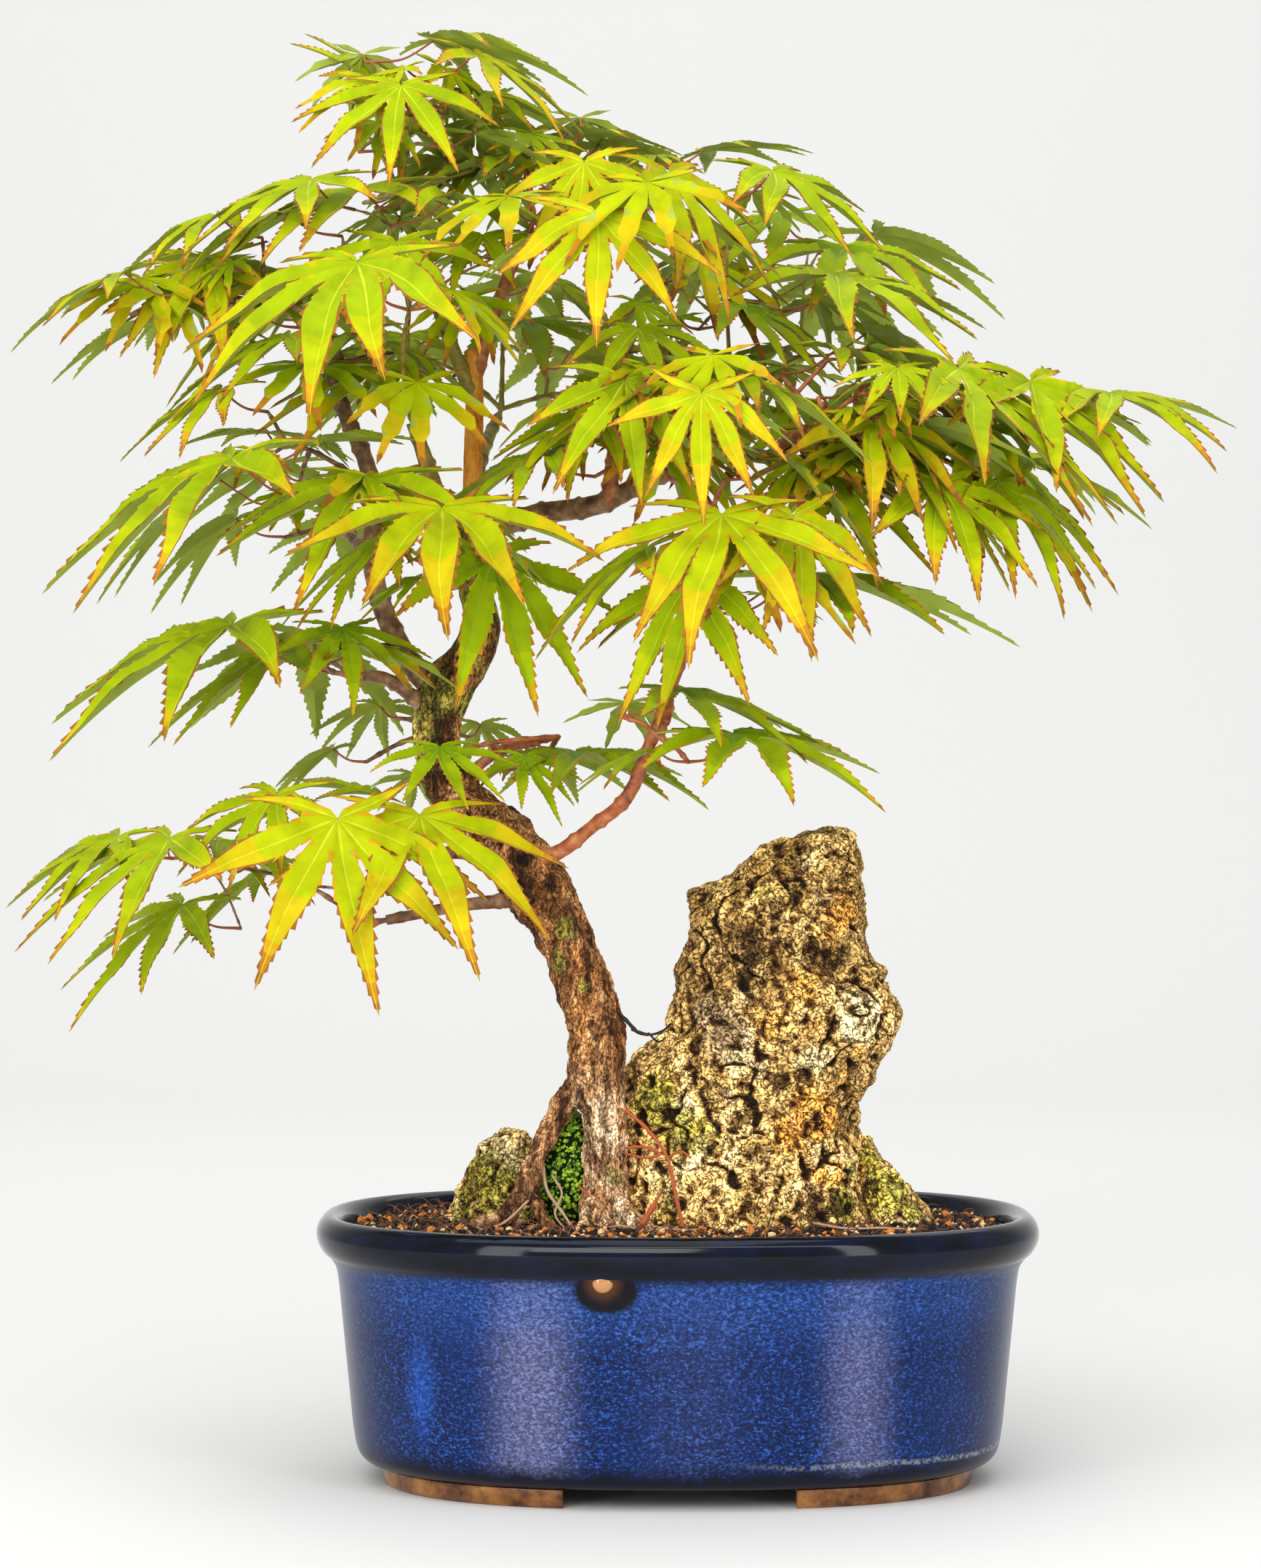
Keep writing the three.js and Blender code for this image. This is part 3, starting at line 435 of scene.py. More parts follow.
# A long bright run of glaze, and a bead of it with a painted shadow round and below it; their shapes are
# stretches
GLAZE_RUN, RUN_SHAPE = [-75.4, -57, 34], (1.5, 1, 0.45)
BEAD, BEAD_RADII = [-22.3, -79.2, 67.4], (3.1, 1.705, 3.1)
BEAD_SHADOW, BEAD_SHADOW_SHAPE, BEAD_SHADOW_EDGE = [-21.5, -80, 64.7], (1, 1, 1.43), (0.0105, 0.0085)


def fullness(x, y):
    """How far the rounded oblong lies outside the circle, in the direction of (x, y)."""
    radius = math.hypot(x, y)
    if radius < 1e-9:
        return 1.0
    return (abs(x / radius) ** SQUARENESS + abs(y / radius) ** SQUARENESS) ** (-1 / SQUARENESS)


def oval_bmesh(profile):
    """A profile of [half length, height] in mm, spun and pressed into the pot's oval."""
    bm = bmesh.new()
    corners = [bm.verts.new((half, 0, height)) for half, height in profile]
    edges = [bm.edges.new(pair) for pair in zip(corners, corners[1:])]
    bmesh.ops.spin(bm, geom=corners + edges, axis=(0, 0, 1), cent=(0, 0, 0), steps=SPIN_STEPS,
                   angle=2 * math.pi, use_merge=True)
    bmesh.ops.remove_doubles(bm, verts=bm.verts, dist=1e-4)
    for corner in bm.verts:
        share = fullness(corner.co.x, corner.co.y)
        corner.co.x *= share
        corner.co.y *= share * DEPTH_SHARE
    bmesh.ops.recalc_face_normals(bm, faces=bm.faces)
    return bm


def rounded(profile, steps_each=3):
    return [(max(half, 0), height) for half, _, height in
            smooth_line([[half, 0, height] for half, height in profile], steps_each)]


def cobalt_glaze():
    """Speckled cobalt: paler in two bands of painted reflection and under the rim, darker to the ends, the rim
    and the foot, with a painted shadow round the bead.
    """
    material, tree, place = patterned("cobalt_glaze", 0.26, Coat_Weight=0.08, Coat_Roughness=0.10,
                                      Specular_IOR_Level=0.18)
    across, _, height = axes(tree, place)
    speckle = grains(tree, stretched(tree, place, (1, 1, 1.5)), 820, 4, 0.8)

    def away_from(x):
        return maths(tree, "ABSOLUTE", maths(tree, "SUBTRACT", across, (x + POT_TO_ROW[0]) * MM))

    def speckled(*stops):
        return ramp(tree, speckle, stops)

    clouds = ramp(tree, grains(tree, stretched(tree, place, (1, 1, 0.5)), 30), [(0.38, 0.0), (0.72, 0.55)])
    painted_reflections = 0.0
    for x, half, strength in PAINTED_REFLECTION_BANDS:
        painted_reflections = maths(tree, "ADD", painted_reflections, fade(tree, away_from(x), half * MM, 0.0, 0.0, strength,
                                               interpolation_type="SMOOTHERSTEP"))
    run = mark(tree, stretched(tree, place, RUN_SHAPE), metres(GLAZE_RUN) * RUN_SHAPE, 6, 0.55)
    ragged = maths(tree, "MULTIPLY_ADD", grains(tree, place, 90), 0.006, -0.003)
    to_foot = fade(tree, maths(tree, "ADD", height, ragged), *AT_FOOT)
    winding = maths(tree, "MULTIPLY_ADD", grains(tree, place, 26, 2, 0.5), 0.006, -LIME_HEIGHT)
    lime_line = fade(tree, maths(tree, "ABSOLUTE", maths(tree, "ADD", height, winding)), *LIME_WIDTH, 0.0, 0.7)
    broken = ramp(tree, grains(tree, place, 900, 2, 0.6), [(0.42, 0.0), (0.56, 1.0)])
    lime = times(tree, times(tree, lime_line, fade(tree, across, *LIME_FROM)), broken)
    from_bead_shadow = distance(tree, stretched(tree, place, BEAD_SHADOW_SHAPE), Vector(metres(BEAD_SHADOW) * BEAD_SHADOW_SHAPE))
    body = speckled((0.39, (0.0003, 0.002, 0.014)), (0.47, (0.0006, 0.007, 0.045)),
                    (0.55, (0.0015, 0.022, 0.13)), (0.63, (0.03, 0.13, 0.56)))
    link(material, layered(tree, body, [
        [clouds, (0.001, 0.017, 0.11)],
        # Painted reflections of the lamps, as two soft pale bands
        [times(tree, painted_reflections, 0.72),
         speckled((0.38, (0.05, 0.055, 0.13)), (0.5, (0.11, 0.12, 0.25)), (0.62, (0.25, 0.26, 0.45)))],
        [times(tree, fade(tree, height, *UNDER_RIM), 0.45),
         speckled((0.38, (0.002, 0.016, 0.10)), (0.5, (0.012, 0.06, 0.26)), (0.64, (0.06, 0.17, 0.55)))],
        [fade(tree, away_from(0), *TO_ENDS, 0.0, 0.7), (0.002, 0.008, 0.035)],
        [fade(tree, height, *AT_RIM), (0.0015, 0.003, 0.012)],
        [run, speckled((0.4, (0.004, 0.03, 0.20)), (0.6, (0.03, 0.15, 0.70)))],
        [to_foot, (0.001, 0.0025, 0.012)],
        [lime, (0.28, 0.31, 0.33)],
        # Painted shadow round and below the bead
        [fade(tree, from_bead_shadow, *BEAD_SHADOW_EDGE), (0.0008, 0.001, 0.004)],
        [mark(tree, place, metres(BEAD), 4.2, 1.0), (0.13, 0.045, 0.010)],
    ]), "Base Color")
    bump_from(material, grains(tree, place, 420, 2, 0.5), 0.05, 0.0004)
    return material


# The same glaze where it ran thin over the rim: nearly black, and glossier
rim_glaze = grainy("rim_glaze", 0.10, [60], [(0.35, (0.0005, 0.0007, 0.002)), (0.7, (0.002, 0.005, 0.024))],
                   scale=(1, 1, 3), Coat_Weight=0.05, Coat_Roughness=0.06, Specular_IOR_Level=0.22)
drains = bmesh.new()
for side in (-1, 1):
    made = bmesh.ops.create_cone(drains, cap_ends=True, segments=32, radius1=DRAIN_RADIUS, radius2=DRAIN_RADIUS,
                                 depth=DRAIN_CUT)
    bmesh.ops.translate(drains, verts=made["verts"], vec=(side * DRAIN_OFF_MIDDLE, 0, DRAIN_HEIGHT))
drain_cutter = in_scene("drain_cutter", mesh_from_mm(drains))
pot_mesh = evaluated(mesh_from_mm(oval_bmesh(rounded(POT_PROFILE))), "BOOLEAN", operation="DIFFERENCE",
                     object=drain_cutter, solver="EXACT")
bpy.data.objects.remove(drain_cutter)
dress("glazed_pot", pot_mesh, [cobalt_glaze(), rim_glaze], "glaze", ["pot"], sharp_angle=40)
for face in pot_mesh.polygons:
    face.material_index = int(face.center.z > RIM_FROM)

bead_glaze = new_material("bead_glaze", 0.05, (0.50, 0.22, 0.07), Coat_Weight=0.8, Coat_Roughness=0.03)
dress("glaze_bead", mesh_from_mm(ball_bmesh(32, 20, BEAD_RADII, BEAD)), [bead_glaze], "glaze")


# Feet: one oval ring, cut away between the four feet
FOOT_PROFILE = [[77, 0], [89.4, 0], [90.6, 1], [91.8, 5.7], [76, 5.7], [77, 0]]
FOOT_GAP_HALF_LENGTH = 34
FOOT_GAP_HALF_DEPTH = 23
FOOT_BEVEL = 0.5
FOOT_EDGE_ANGLE = 0.6
clay = grainy("fired_clay", 0.27, [70, 5, 0.7], [
    (0.36, (0.04, 0.012, 0.003)), (0.46, (0.17, 0.06, 0.014)), (0.56, (0.30, 0.12, 0.028)),
    (0.68, (0.46, 0.22, 0.06))], [500, 0.25, 0.0005], Specular_IOR_Level=0.45)
for along_x, x_name in ((-1, "left"), (1, "right")):
    for along_y, y_name in ((-1, "front"), (1, "back")):
        foot = oval_bmesh(FOOT_PROFILE)
        for cut, outward in (((along_x * FOOT_GAP_HALF_LENGTH, 0, 0), (along_x, 0, 0)),
                             ((0, along_y * FOOT_GAP_HALF_DEPTH, 0), (0, along_y, 0))):
            kept = bmesh.ops.bisect_plane(foot, geom=foot.verts[:] + foot.edges[:] + foot.faces[:], dist=1e-5,
                                          plane_co=cut, plane_no=outward, clear_inner=True)
            bmesh.ops.edgeloop_fill(foot, edges=[part for part in kept["geom_cut"]
                                                 if isinstance(part, bmesh.types.BMEdge)])
        bmesh.ops.recalc_face_normals(foot, faces=foot.faces)
        corners = [edge for edge in foot.edges if edge.calc_face_angle(0) > FOOT_EDGE_ANGLE]
        bmesh.ops.bevel(foot, geom=corners, offset=FOOT_BEVEL, affect="EDGES", segments=2, profile=0.5,
                        material=-1)
        dress(f"foot_{y_name}_{x_name}_clay", mesh_from_mm(foot), [clay], "bare_clay",
              [f"foot_{y_name}_{x_name}"], sharp_angle=35)


# Soil
SOIL_LEVEL = 78
SOIL_BED = rounded([[0, 12.3], [86, 12.3], [91.8, 18.3], [98.2, 67.5]], 4) + [
    (100.2, 75.3), (97, 75.8), (92, 76.6), (86, 77.5), *((reach, SOIL_LEVEL) for reach in range(80, -1, -10))]
SOIL_EDGE = 75
GRAIN_COUNT, GRAIN_SPAN, GRAINS_REACH = 5200, (100, 77), 99
FIBRE_COUNT, FIBRE_SPAN, FIBRES_REACH = 520, (94, 70), 95
soil_rng = np.random.default_rng(4)


def soil_reach(x, y):
    """The half length of the oval that a spot lies on."""
    return math.hypot(x, y / DEPTH_SHARE) / fullness(x, y / DEPTH_SHARE)


def soil_height(x, y):
    return float(np.interp(soil_reach(x, y), [0, 82, 92, 100.4], [SOIL_LEVEL, SOIL_LEVEL, 76.5, 75.5]))


def soil_spots(count, low, high):
    spots = []
    while len(spots) < count:
        x, y = (soil_rng.uniform(-half, half) for half in GRAIN_SPAN)
        if soil_reach(x, y) < GRAINS_REACH:
            spots.append([x, y, soil_height(x, y) + soil_rng.uniform(low, high)])
    return np.array(spots)


soil_bm = oval_bmesh(SOIL_BED)
for corner in soil_bm.verts:
    if corner.co.z > SOIL_EDGE:
        corner.co.z += 0.9 * noise.noise(corner.co * 0.16) - 0.5
dark_earth = grainy("dark_earth", 0.95, [330, 5, 0.7], [
    (0.35, (0.006, 0.003, 0.002)), (0.55, (0.035, 0.016, 0.008)), (0.75, (0.11, 0.05, 0.025))])
dress("soil_bed", mesh_from_mm(soil_bm), [dark_earth], "soil", ["soil"])


# Stones, as in the part's source: each level gives its height, its left and right edge, and its front and
# back. Each crag stands on the front at x and z, with its radius and how far it stands out, or in if negative.
# A stain is x, z, radius and strength, on the front at y = front; the dark ones are painted shade in pits and
# crevices.
STONES = {
    "tall": {"seed": 5, "lumps": 30, "columns": 230, "rows": 300, "craggy": 1.0, "mossy": 0.02, "front": -22,
        "levels": [
            [198, 42, 53, -10, 4], [195, 35, 55, -14, 8], [191, 22, 56, -16, 10], [187, 18, 56.5, -18, 12],
            [183, 14, 57, -19, 13], [178, 6, 57.5, -22, 15], [171, 4, 58, -23, 16], [164, 3, 57, -24, 17],
            [159, 1, 61, -24, 18], [154, -1, 64.5, -25, 20], [148, -1, 66, -26, 21], [142, -2, 67, -27, 22],
            [136, -3, 67, -27, 22], [131, -11, 65, -26, 22], [126, -15, 60.5, -26, 22], [119, -18, 59, -25, 23],
            [114, -20, 55.5, -26, 23], [107, -20, 55, -27, 24], [99, -20, 57, -29, 25], [90, -20, 58, -30, 26],
            [84, -20, 60, -31, 27], [78.3, -20, 61, -32, 27]],
        "crags": [
            [23, 160, 6, -4.5], [21, 152, 5, -3.5], [29, 175, 5, -2], [40, 161, 5, -3], [46, 157, 5, -4],
            [51, 153, 5, -4.5], [57, 148, 4, -3], [60, 155, 6, 2], [56, 141, 9, 3], [36, 145, 9, 2.5],
            [32, 158, 6, 2], [30, 121, 5, -3], [39, 123, 5, -2.5], [57, 123, 5, 2], [19, 111, 7, -2.5],
            [42, 111, 8, 3], [34, 104, 7, 2], [22, 99, 5, -2.5], [50, 95, 7, 3], [42, 84, 7, -4],
            [8, 122, 9, 2], [-8, 118, 9, 1.5], [10, 168, 9, 1.5], [24, 188, 5, 2], [31, 190, 3, -2],
            [47, 187, 7, 2], [12, 140, 8, 1.5], [8, 90, 9, 2], [27, 133, 7, 1.5]],
        "taupe": [[16, 134, 9, 1.0], [8, 142, 7, 0.8], [24, 128, 6, 0.7], [30, 112, 6, 0.6], [14, 118, 6, 0.5],
                  [45, 178, 6, 0.6], [20, 90, 8, 0.5]],
        "pale": [[55, 141, 9, 1.0], [5, 98, 9, 0.7], [26, 96, 8, 0.8], [40, 190, 6, 0.6], [40, 128, 7, 0.7],
                 [2, 112, 6, 0.7], [16, 146, 8, 0.5], [20, 128, 8, 0.6], [44, 98, 6, 0.6]],
        "rust": [[37, 150, 7, 1.0], [30, 141, 8, 0.8], [40, 137, 7, 0.6], [42, 111, 8, 1.2], [33, 105, 8, 0.9],
                 [52, 120, 6, 1.0], [52, 172, 9, 0.8], [47, 167, 7, 0.6], [55, 128, 6, 0.6], [46, 94, 6, 0.7],
                 [-5, 108, 6, 0.4], [24, 84, 8, 0.5]],
        "moss": [[-8, 116, 8, 1.1], [4, 106, 9, 0.8], [10, 104, 7, 0.6], [56, 96, 7, 1.0], [62, 88, 8, 1.2],
                 [0, 84, 10, 0.5], [30, 176, 8, 0.4], [-2, 150, 7, 0.5], [52, 84, 8, 0.7], [12, 176, 8, 0.4]],
        "dark": [[22.5, 160, 4, 1.3], [20.5, 152.5, 3.2, 1.1], [22, 166, 3, 0.7], [40, 160.5, 4, 0.9],
                 [46, 157, 4.5, 1.2], [51, 153, 4.5, 1.2], [57, 148, 3.5, 1.1], [60.5, 140, 2.5, 0.8],
                 [30, 121, 3.5, 1.1], [38.5, 123, 3.5, 1.0], [19, 111, 5, 0.8], [14, 106, 4.5, 0.8],
                 [22.5, 98.5, 3.5, 1.1], [40, 82.5, 6, 1.4], [48, 84, 4.5, 1.1], [29, 174, 4, 0.7],
                 [33, 183, 3, 0.5], [10, 99, 4.5, 0.7], [-2, 88, 4.5, 0.7], [55, 118, 3.5, 0.9],
                 [53, 101, 3.5, 0.9], [31, 190, 2.5, 0.8], [-13, 126, 4, 0.9], [6, 168, 4, 0.4]]},
    "left": {"seed": 8, "lumps": 8, "columns": 120, "rows": 100, "craggy": 0.7, "mossy": 0.02, "front": -11,
        "levels": [
            [105.5, -54, -46.5, -8, 2], [102, -59, -45, -10, 5], [97, -62, -44, -11, 7], [92, -65, -43, -12, 9],
            [86, -67.5, -42, -13, 11], [78.3, -70, -40, -14, 13]],
        "crags": [[-59, 100, 4, 1.5], [-50, 95, 4, -1.5], [-63, 90, 4, -1.5], [-54, 86, 5, 1.5]],
        "taupe": [[-48, 92, 4, 0.6]],
        "pale": [[-56, 101, 6, 1.2], [-50, 97, 6, 0.8]],
        "rust": [[-46, 100, 4, 0.5]],
        "moss": [[-60, 92, 8, 1.2], [-54, 87, 8, 1.2], [-66, 84, 7, 0.9]],
        "dark": [[-48, 88, 4, 0.8], [-62, 98, 2.5, 0.6]]},
    "right": {"seed": 11, "lumps": 8, "columns": 120, "rows": 100, "craggy": 0.7, "mossy": 0.08, "front": -12,
        "levels": [
            [103, 55, 58.5, -3, 3], [98, 54, 61, -7, 7], [94, 54, 65.5, -9, 10], [88, 53, 71, -14, 15],
            [78.3, 52, 78, -17, 18]],
        "crags": [[65, 93, 4, 1.5], [70, 86, 4, -1.5]],
        "taupe": [[56, 92, 5, 0.8], [62, 80, 6, 0.6]],
        "pale": [[66, 90, 5, 0.6]],
        "rust": [[60, 85, 5, 0.6]],
        "moss": [[57, 97, 6, 1.2], [64, 87, 8, 1.1], [72, 82, 6, 0.8]],
        "dark": [[56, 88, 4, 1.0], [61, 94, 2.5, 0.7]]},
}
CRAG_FALL = 2
LUMP_RADIUS = (7, 13)
LUMP_RISE = 3
LUMP_SPREAD = 0.2
BOULDER_WIDTH = 60
SUNK = 4
CROWN_ROUNDING, FOOT_ROUNDING = 0.03, 0.01
# Heights in metres over which a stone turns brown to its crown, and green to its foot
BROWN_CROWN, GREEN_FOOT = (0.138, 0.165), (0.150, 0.085)
# Scale of the ragged edge of a kind of stain, and its tones
STAIN_TONES = {
    "taupe": (130, [(0.35, (0.24, 0.18, 0.11)), (0.6, (0.56, 0.46, 0.33))]),
    "pale": (130, [(0.35, (0.56, 0.50, 0.27)), (0.6, (0.90, 0.85, 0.56))]),
    "rust": (120, [(0.35, (0.55, 0.20, 0.02)), (0.52, (0.86, 0.47, 0.08)), (0.68, (1.0, 0.78, 0.34))]),
    "moss": (150, [(0.35, (0.07, 0.08, 0.01)), (0.6, (0.46, 0.46, 0.06))]),
}


def at_height(table, height, *columns):
    return [np.interp(height, table[:, 0], table[:, column]) for column in columns]


def on_stone(table, angle, height):
    left, right, front, back = at_height(table, height, 1, 2, 3, 4)
    return np.array([(left + right) / 2 + math.cos(angle) * (right - left) / 2,
                     (front + back) / 2 + math.sin(angle) * (back - front) / 2, height])


def crags_of(form, table):
    """The crags of the front, and seeded lumps on the sides and the back: spots, radii and rises."""
    roll = dice(form["seed"])
    foot, left, right = table[0][:3]
    top = table[-1][0]
    size = min(1, (right - left) / BOULDER_WIDTH)
    spots, sizes = [], []
    for x, z, radius, rise in form["crags"]:
        west, east = at_height(table, z, 1, 2)
        across = (2 * x - west - east) / (east - west)
        spots.append(on_stone(table, -math.acos(max(-1, min(1, across))), z))
        sizes.append((radius, rise))
    for _ in range(form["lumps"]):
        angle = roll(-LUMP_SPREAD, math.pi + LUMP_SPREAD)
        spots.append(on_stone(table, angle, roll(foot, top)))
        radius = size * roll(*LUMP_RADIUS)
        sizes.append((radius, size * roll(-LUMP_RISE, LUMP_RISE)))
    return np.array(spots), np.array(sizes)


def weathered(spot, scale):
    """Relief of limestone: low lumps, clefts and pits."""
    def bumps(divisor, *shift):
        return noise.noise(p / divisor + Vector(shift or (0, 0, 0)))

    p = spot / scale
    p = p + 1.5 * Vector((bumps(4), bumps(4, 40, 0, 0), bumps(4.5)))
    lumps = noise.fractal(p / 8, 0.9, 2.1, 3) * 1.7
    hollows = -2.2 * max(0, bumps(5.5, 9, 4, 2) - 0.16)
    cracked = min(1, max(0, 0.15 + 3 * bumps(13, 6, 1, 7)))
    clefts = -1.9 * cracked * max(0, 0.1 - abs(bumps(11, 1, 5, 3))) / 0.1
    pits = -0.9 * max(0, 0.2 - noise.voronoi(p / 5.2 + Vector((3, 7, 1)))[0][0]) / 0.2
    wrinkles = 0.12 - 0.42 * abs(bumps(1.5, 2, 8, 5))
    fine = noise.fractal(p / 1.6, 0.8, 2.2, 2) * 0.22
    return (lumps + hollows + clefts + pits + wrinkles + fine) * scale


def boulder(form):
    """A closed ball drawn out to the levels and crags of a stone, then weathered."""
    bm = ball_bmesh(form["columns"], form["rows"])
    table = np.array(form["levels"], float)[::-1]
    spots, sizes = crags_of(form, table)
    foot, top = table[0][0] - SUNK, table[-1][0]
    for corner in bm.verts:
        share = math.acos(max(-1, min(1, -corner.co.z))) / math.pi
        height = foot + share * (top - foot)
        angle = math.atan2(corner.co.y, corner.co.x)
        skin = on_stone(table, angle, height)
        far = np.linalg.norm(spots - skin, axis=1) / sizes[:, 0]
        rise = float(np.sum(sizes[:, 1] * np.exp(-CRAG_FALL * far ** 2)))
        skin[:2] += rise * np.array([math.cos(angle), math.sin(angle)])
        middle = (on_stone(table, 0, height) + on_stone(table, math.pi, height)) / 2
        closing = min(1, (1 - share) / CROWN_ROUNDING, share / FOOT_ROUNDING)
        reach = math.sqrt(max(0, 1 - (1 - closing) ** 2))
        corner.co = Vector(middle + (skin - middle) * reach)
    smooth_skin(bm, 1)
    mesh = mesh_from_mm(bm)
    depths = push_along_normals(mesh, lambda spot: weathered(spot, form["craggy"]))
    keep_relief(mesh, depths, passes=20, gain=0.75)
    return mesh


def limestone(name, form):
    """Pale stone, browner at the crown and greener at the foot, with its stains, painted shade in its creases,
    hollows, pits and crevices, and painted light on its high places.
    """
    material, tree, place = patterned(name, 0.9, Specular_IOR_Level=0.25)
    height = axes(tree, place)["Z"]
    patches = grains(tree, place, 62, 6, 0.72)
    fine = grains(tree, place, 170, 4, 0.7)
    crown = ramp(tree, patches, [(0.32, (0.07, 0.036, 0.008)), (0.46, (0.21, 0.13, 0.034)),
                                 (0.62, (0.54, 0.38, 0.15))])
    stains = [[times(tree, stain(tree, place, form[kind], form["front"], scale, 1.5), 0.85),
               ramp(tree, fine, tones)] for kind, (scale, tones) in STAIN_TONES.items()]
    green = ramp(tree, grains(tree, place, 52, 5, 0.7),
                 [(0.6 - form["mossy"], 0.0), (0.72 - form["mossy"], 0.8)])
    # Painted shade in the hollows and painted light on the high places, from the stored relief
    hollows = relief_light_and_shade(tree, [(0.08, (0.03, 0.017, 0.006)), (0.32, (0.36, 0.26, 0.16)),
                                   (0.48, (0.96, 0.93, 0.87)), (0.72, (1.4, 1.36, 1.28))])
    wrinkle = wrinkled(tree, place, 620)
    # Painted shade in the creases, lighter between them
    creases = ramp(tree, wrinkle, [(0.0, (0.03, 0.017, 0.006)), (0.025, (0.20, 0.13, 0.07)),
                                   (0.06, (1.0, 0.95, 0.88)), (0.13, (1.9, 1.8, 1.6))])
    broad = ramp(tree, grains(tree, place, 28), [(0.38, (0.6, 0.53, 0.44)), (0.52, (1.1, 1.09, 1.06)),
                                                 (0.66, (1.4, 1.37, 1.3))])
    speckle = ramp(tree, grains(tree, place, 1100, 4, 0.75), [
        (0.38, (0.5, 0.44, 0.36)), (0.5, (0.97, 0.97, 0.97)), (0.7, (1.25, 1.22, 1.16))])
    # Painted shade in the pits and crevices of the dark marks
    shade = stain(tree, place, form["dark"], form["front"], 380, 3.4)
    pale = ramp(tree, patches, [(0.32, (0.20, 0.12, 0.045)), (0.43, (0.43, 0.30, 0.11)),
                                (0.52, (0.78, 0.57, 0.24)), (0.62, (0.96, 0.81, 0.43))])
    link(material, layered(tree, pale, [
        [fade(tree, height, *BROWN_CROWN, 0.0, 0.75), crown],
        *stains,
        [times(tree, fade(tree, height, *GREEN_FOOT), green), (0.22, 0.24, 0.04)],
        [1.0, hollows, "MULTIPLY"],
        [0.95, creases, "MULTIPLY"],
        [0.8, broad, "MULTIPLY"],
        [0.5, speckle, "MULTIPLY"],
        [times(tree, shade, 0.95), (0.13, 0.10, 0.07), "MULTIPLY"],
    ]), "Base Color")
    roughened = maths(tree, "MULTIPLY_ADD", grains(tree, place, 620, 5, 0.7), 0.6, wrinkle)
    bump_from(material, roughened, 0.9, 0.0009)
    return material


for name, form in STONES.items():
    finish = limestone("pitted_limestone" if name == "tall" else f"{name}_limestone", form)
    dress(f"{name}_stone", boulder(form), [finish], "stone", [f"stone_{name}"])


# Trunk and boughs: stations of [x, y, z, radius], as in the part's source
TRUNK = [
    [-22, -18, 72, 8.6], [-22, -18, 82, 7.2], [-22, -17, 94, 6.3], [-22.5, -17, 112, 6.6],
    [-24.5, -16, 122, 8.6], [-24.5, -15, 132, 8.1], [-25.5, -14, 141, 8], [-29, -13, 150, 8.2],
    [-33.5, -12, 162, 8.3], [-37.5, -12, 171, 8.5], [-42, -11, 178, 10.3], [-47, -10, 186, 9.9],
    [-53, -9, 194, 9.2], [-62, -8, 202, 8], [-70, -7, 212, 7.3], [-73.5, -6, 225, 7],
    [-71, -6, 239, 8.4], [-63, -5, 250, 6.6], [-60, -5, 260, 5.8], [-62, -4, 270, 4.6],
    [-64.5, -4, 280, 3.8], [-62.5, -3, 292, 3.4], [-62.5, -2, 308, 3], [-62, -1, 326, 2.9],
    [-62.5, 0, 344, 2.7],
]
ROOTS = [
    [[-26, -16, 122, 5], [-33, -18, 116, 4], [-39, -20, 106, 3.2], [-44, -22, 96, 2.9],
     [-46.5, -23, 88, 2.8], [-53, -25, 81, 2.5], [-63, -26, 77, 2]],
    [[-43, -21, 97, 2.2], [-43.5, -24, 87, 2.2], [-39, -28, 78, 2.2], [-37, -30, 74, 2]],
    [[-20, -20, 88, 3], [-14, -27, 81, 2.6], [-8, -33, 75, 2]],
    [[-24, -20, 88, 3], [-28, -29, 80, 2.4], [-30, -36, 74, 2]],
    [[-22, -14, 90, 3.4], [-25, -4, 82, 3], [-30, 5, 75, 2.2]],
]
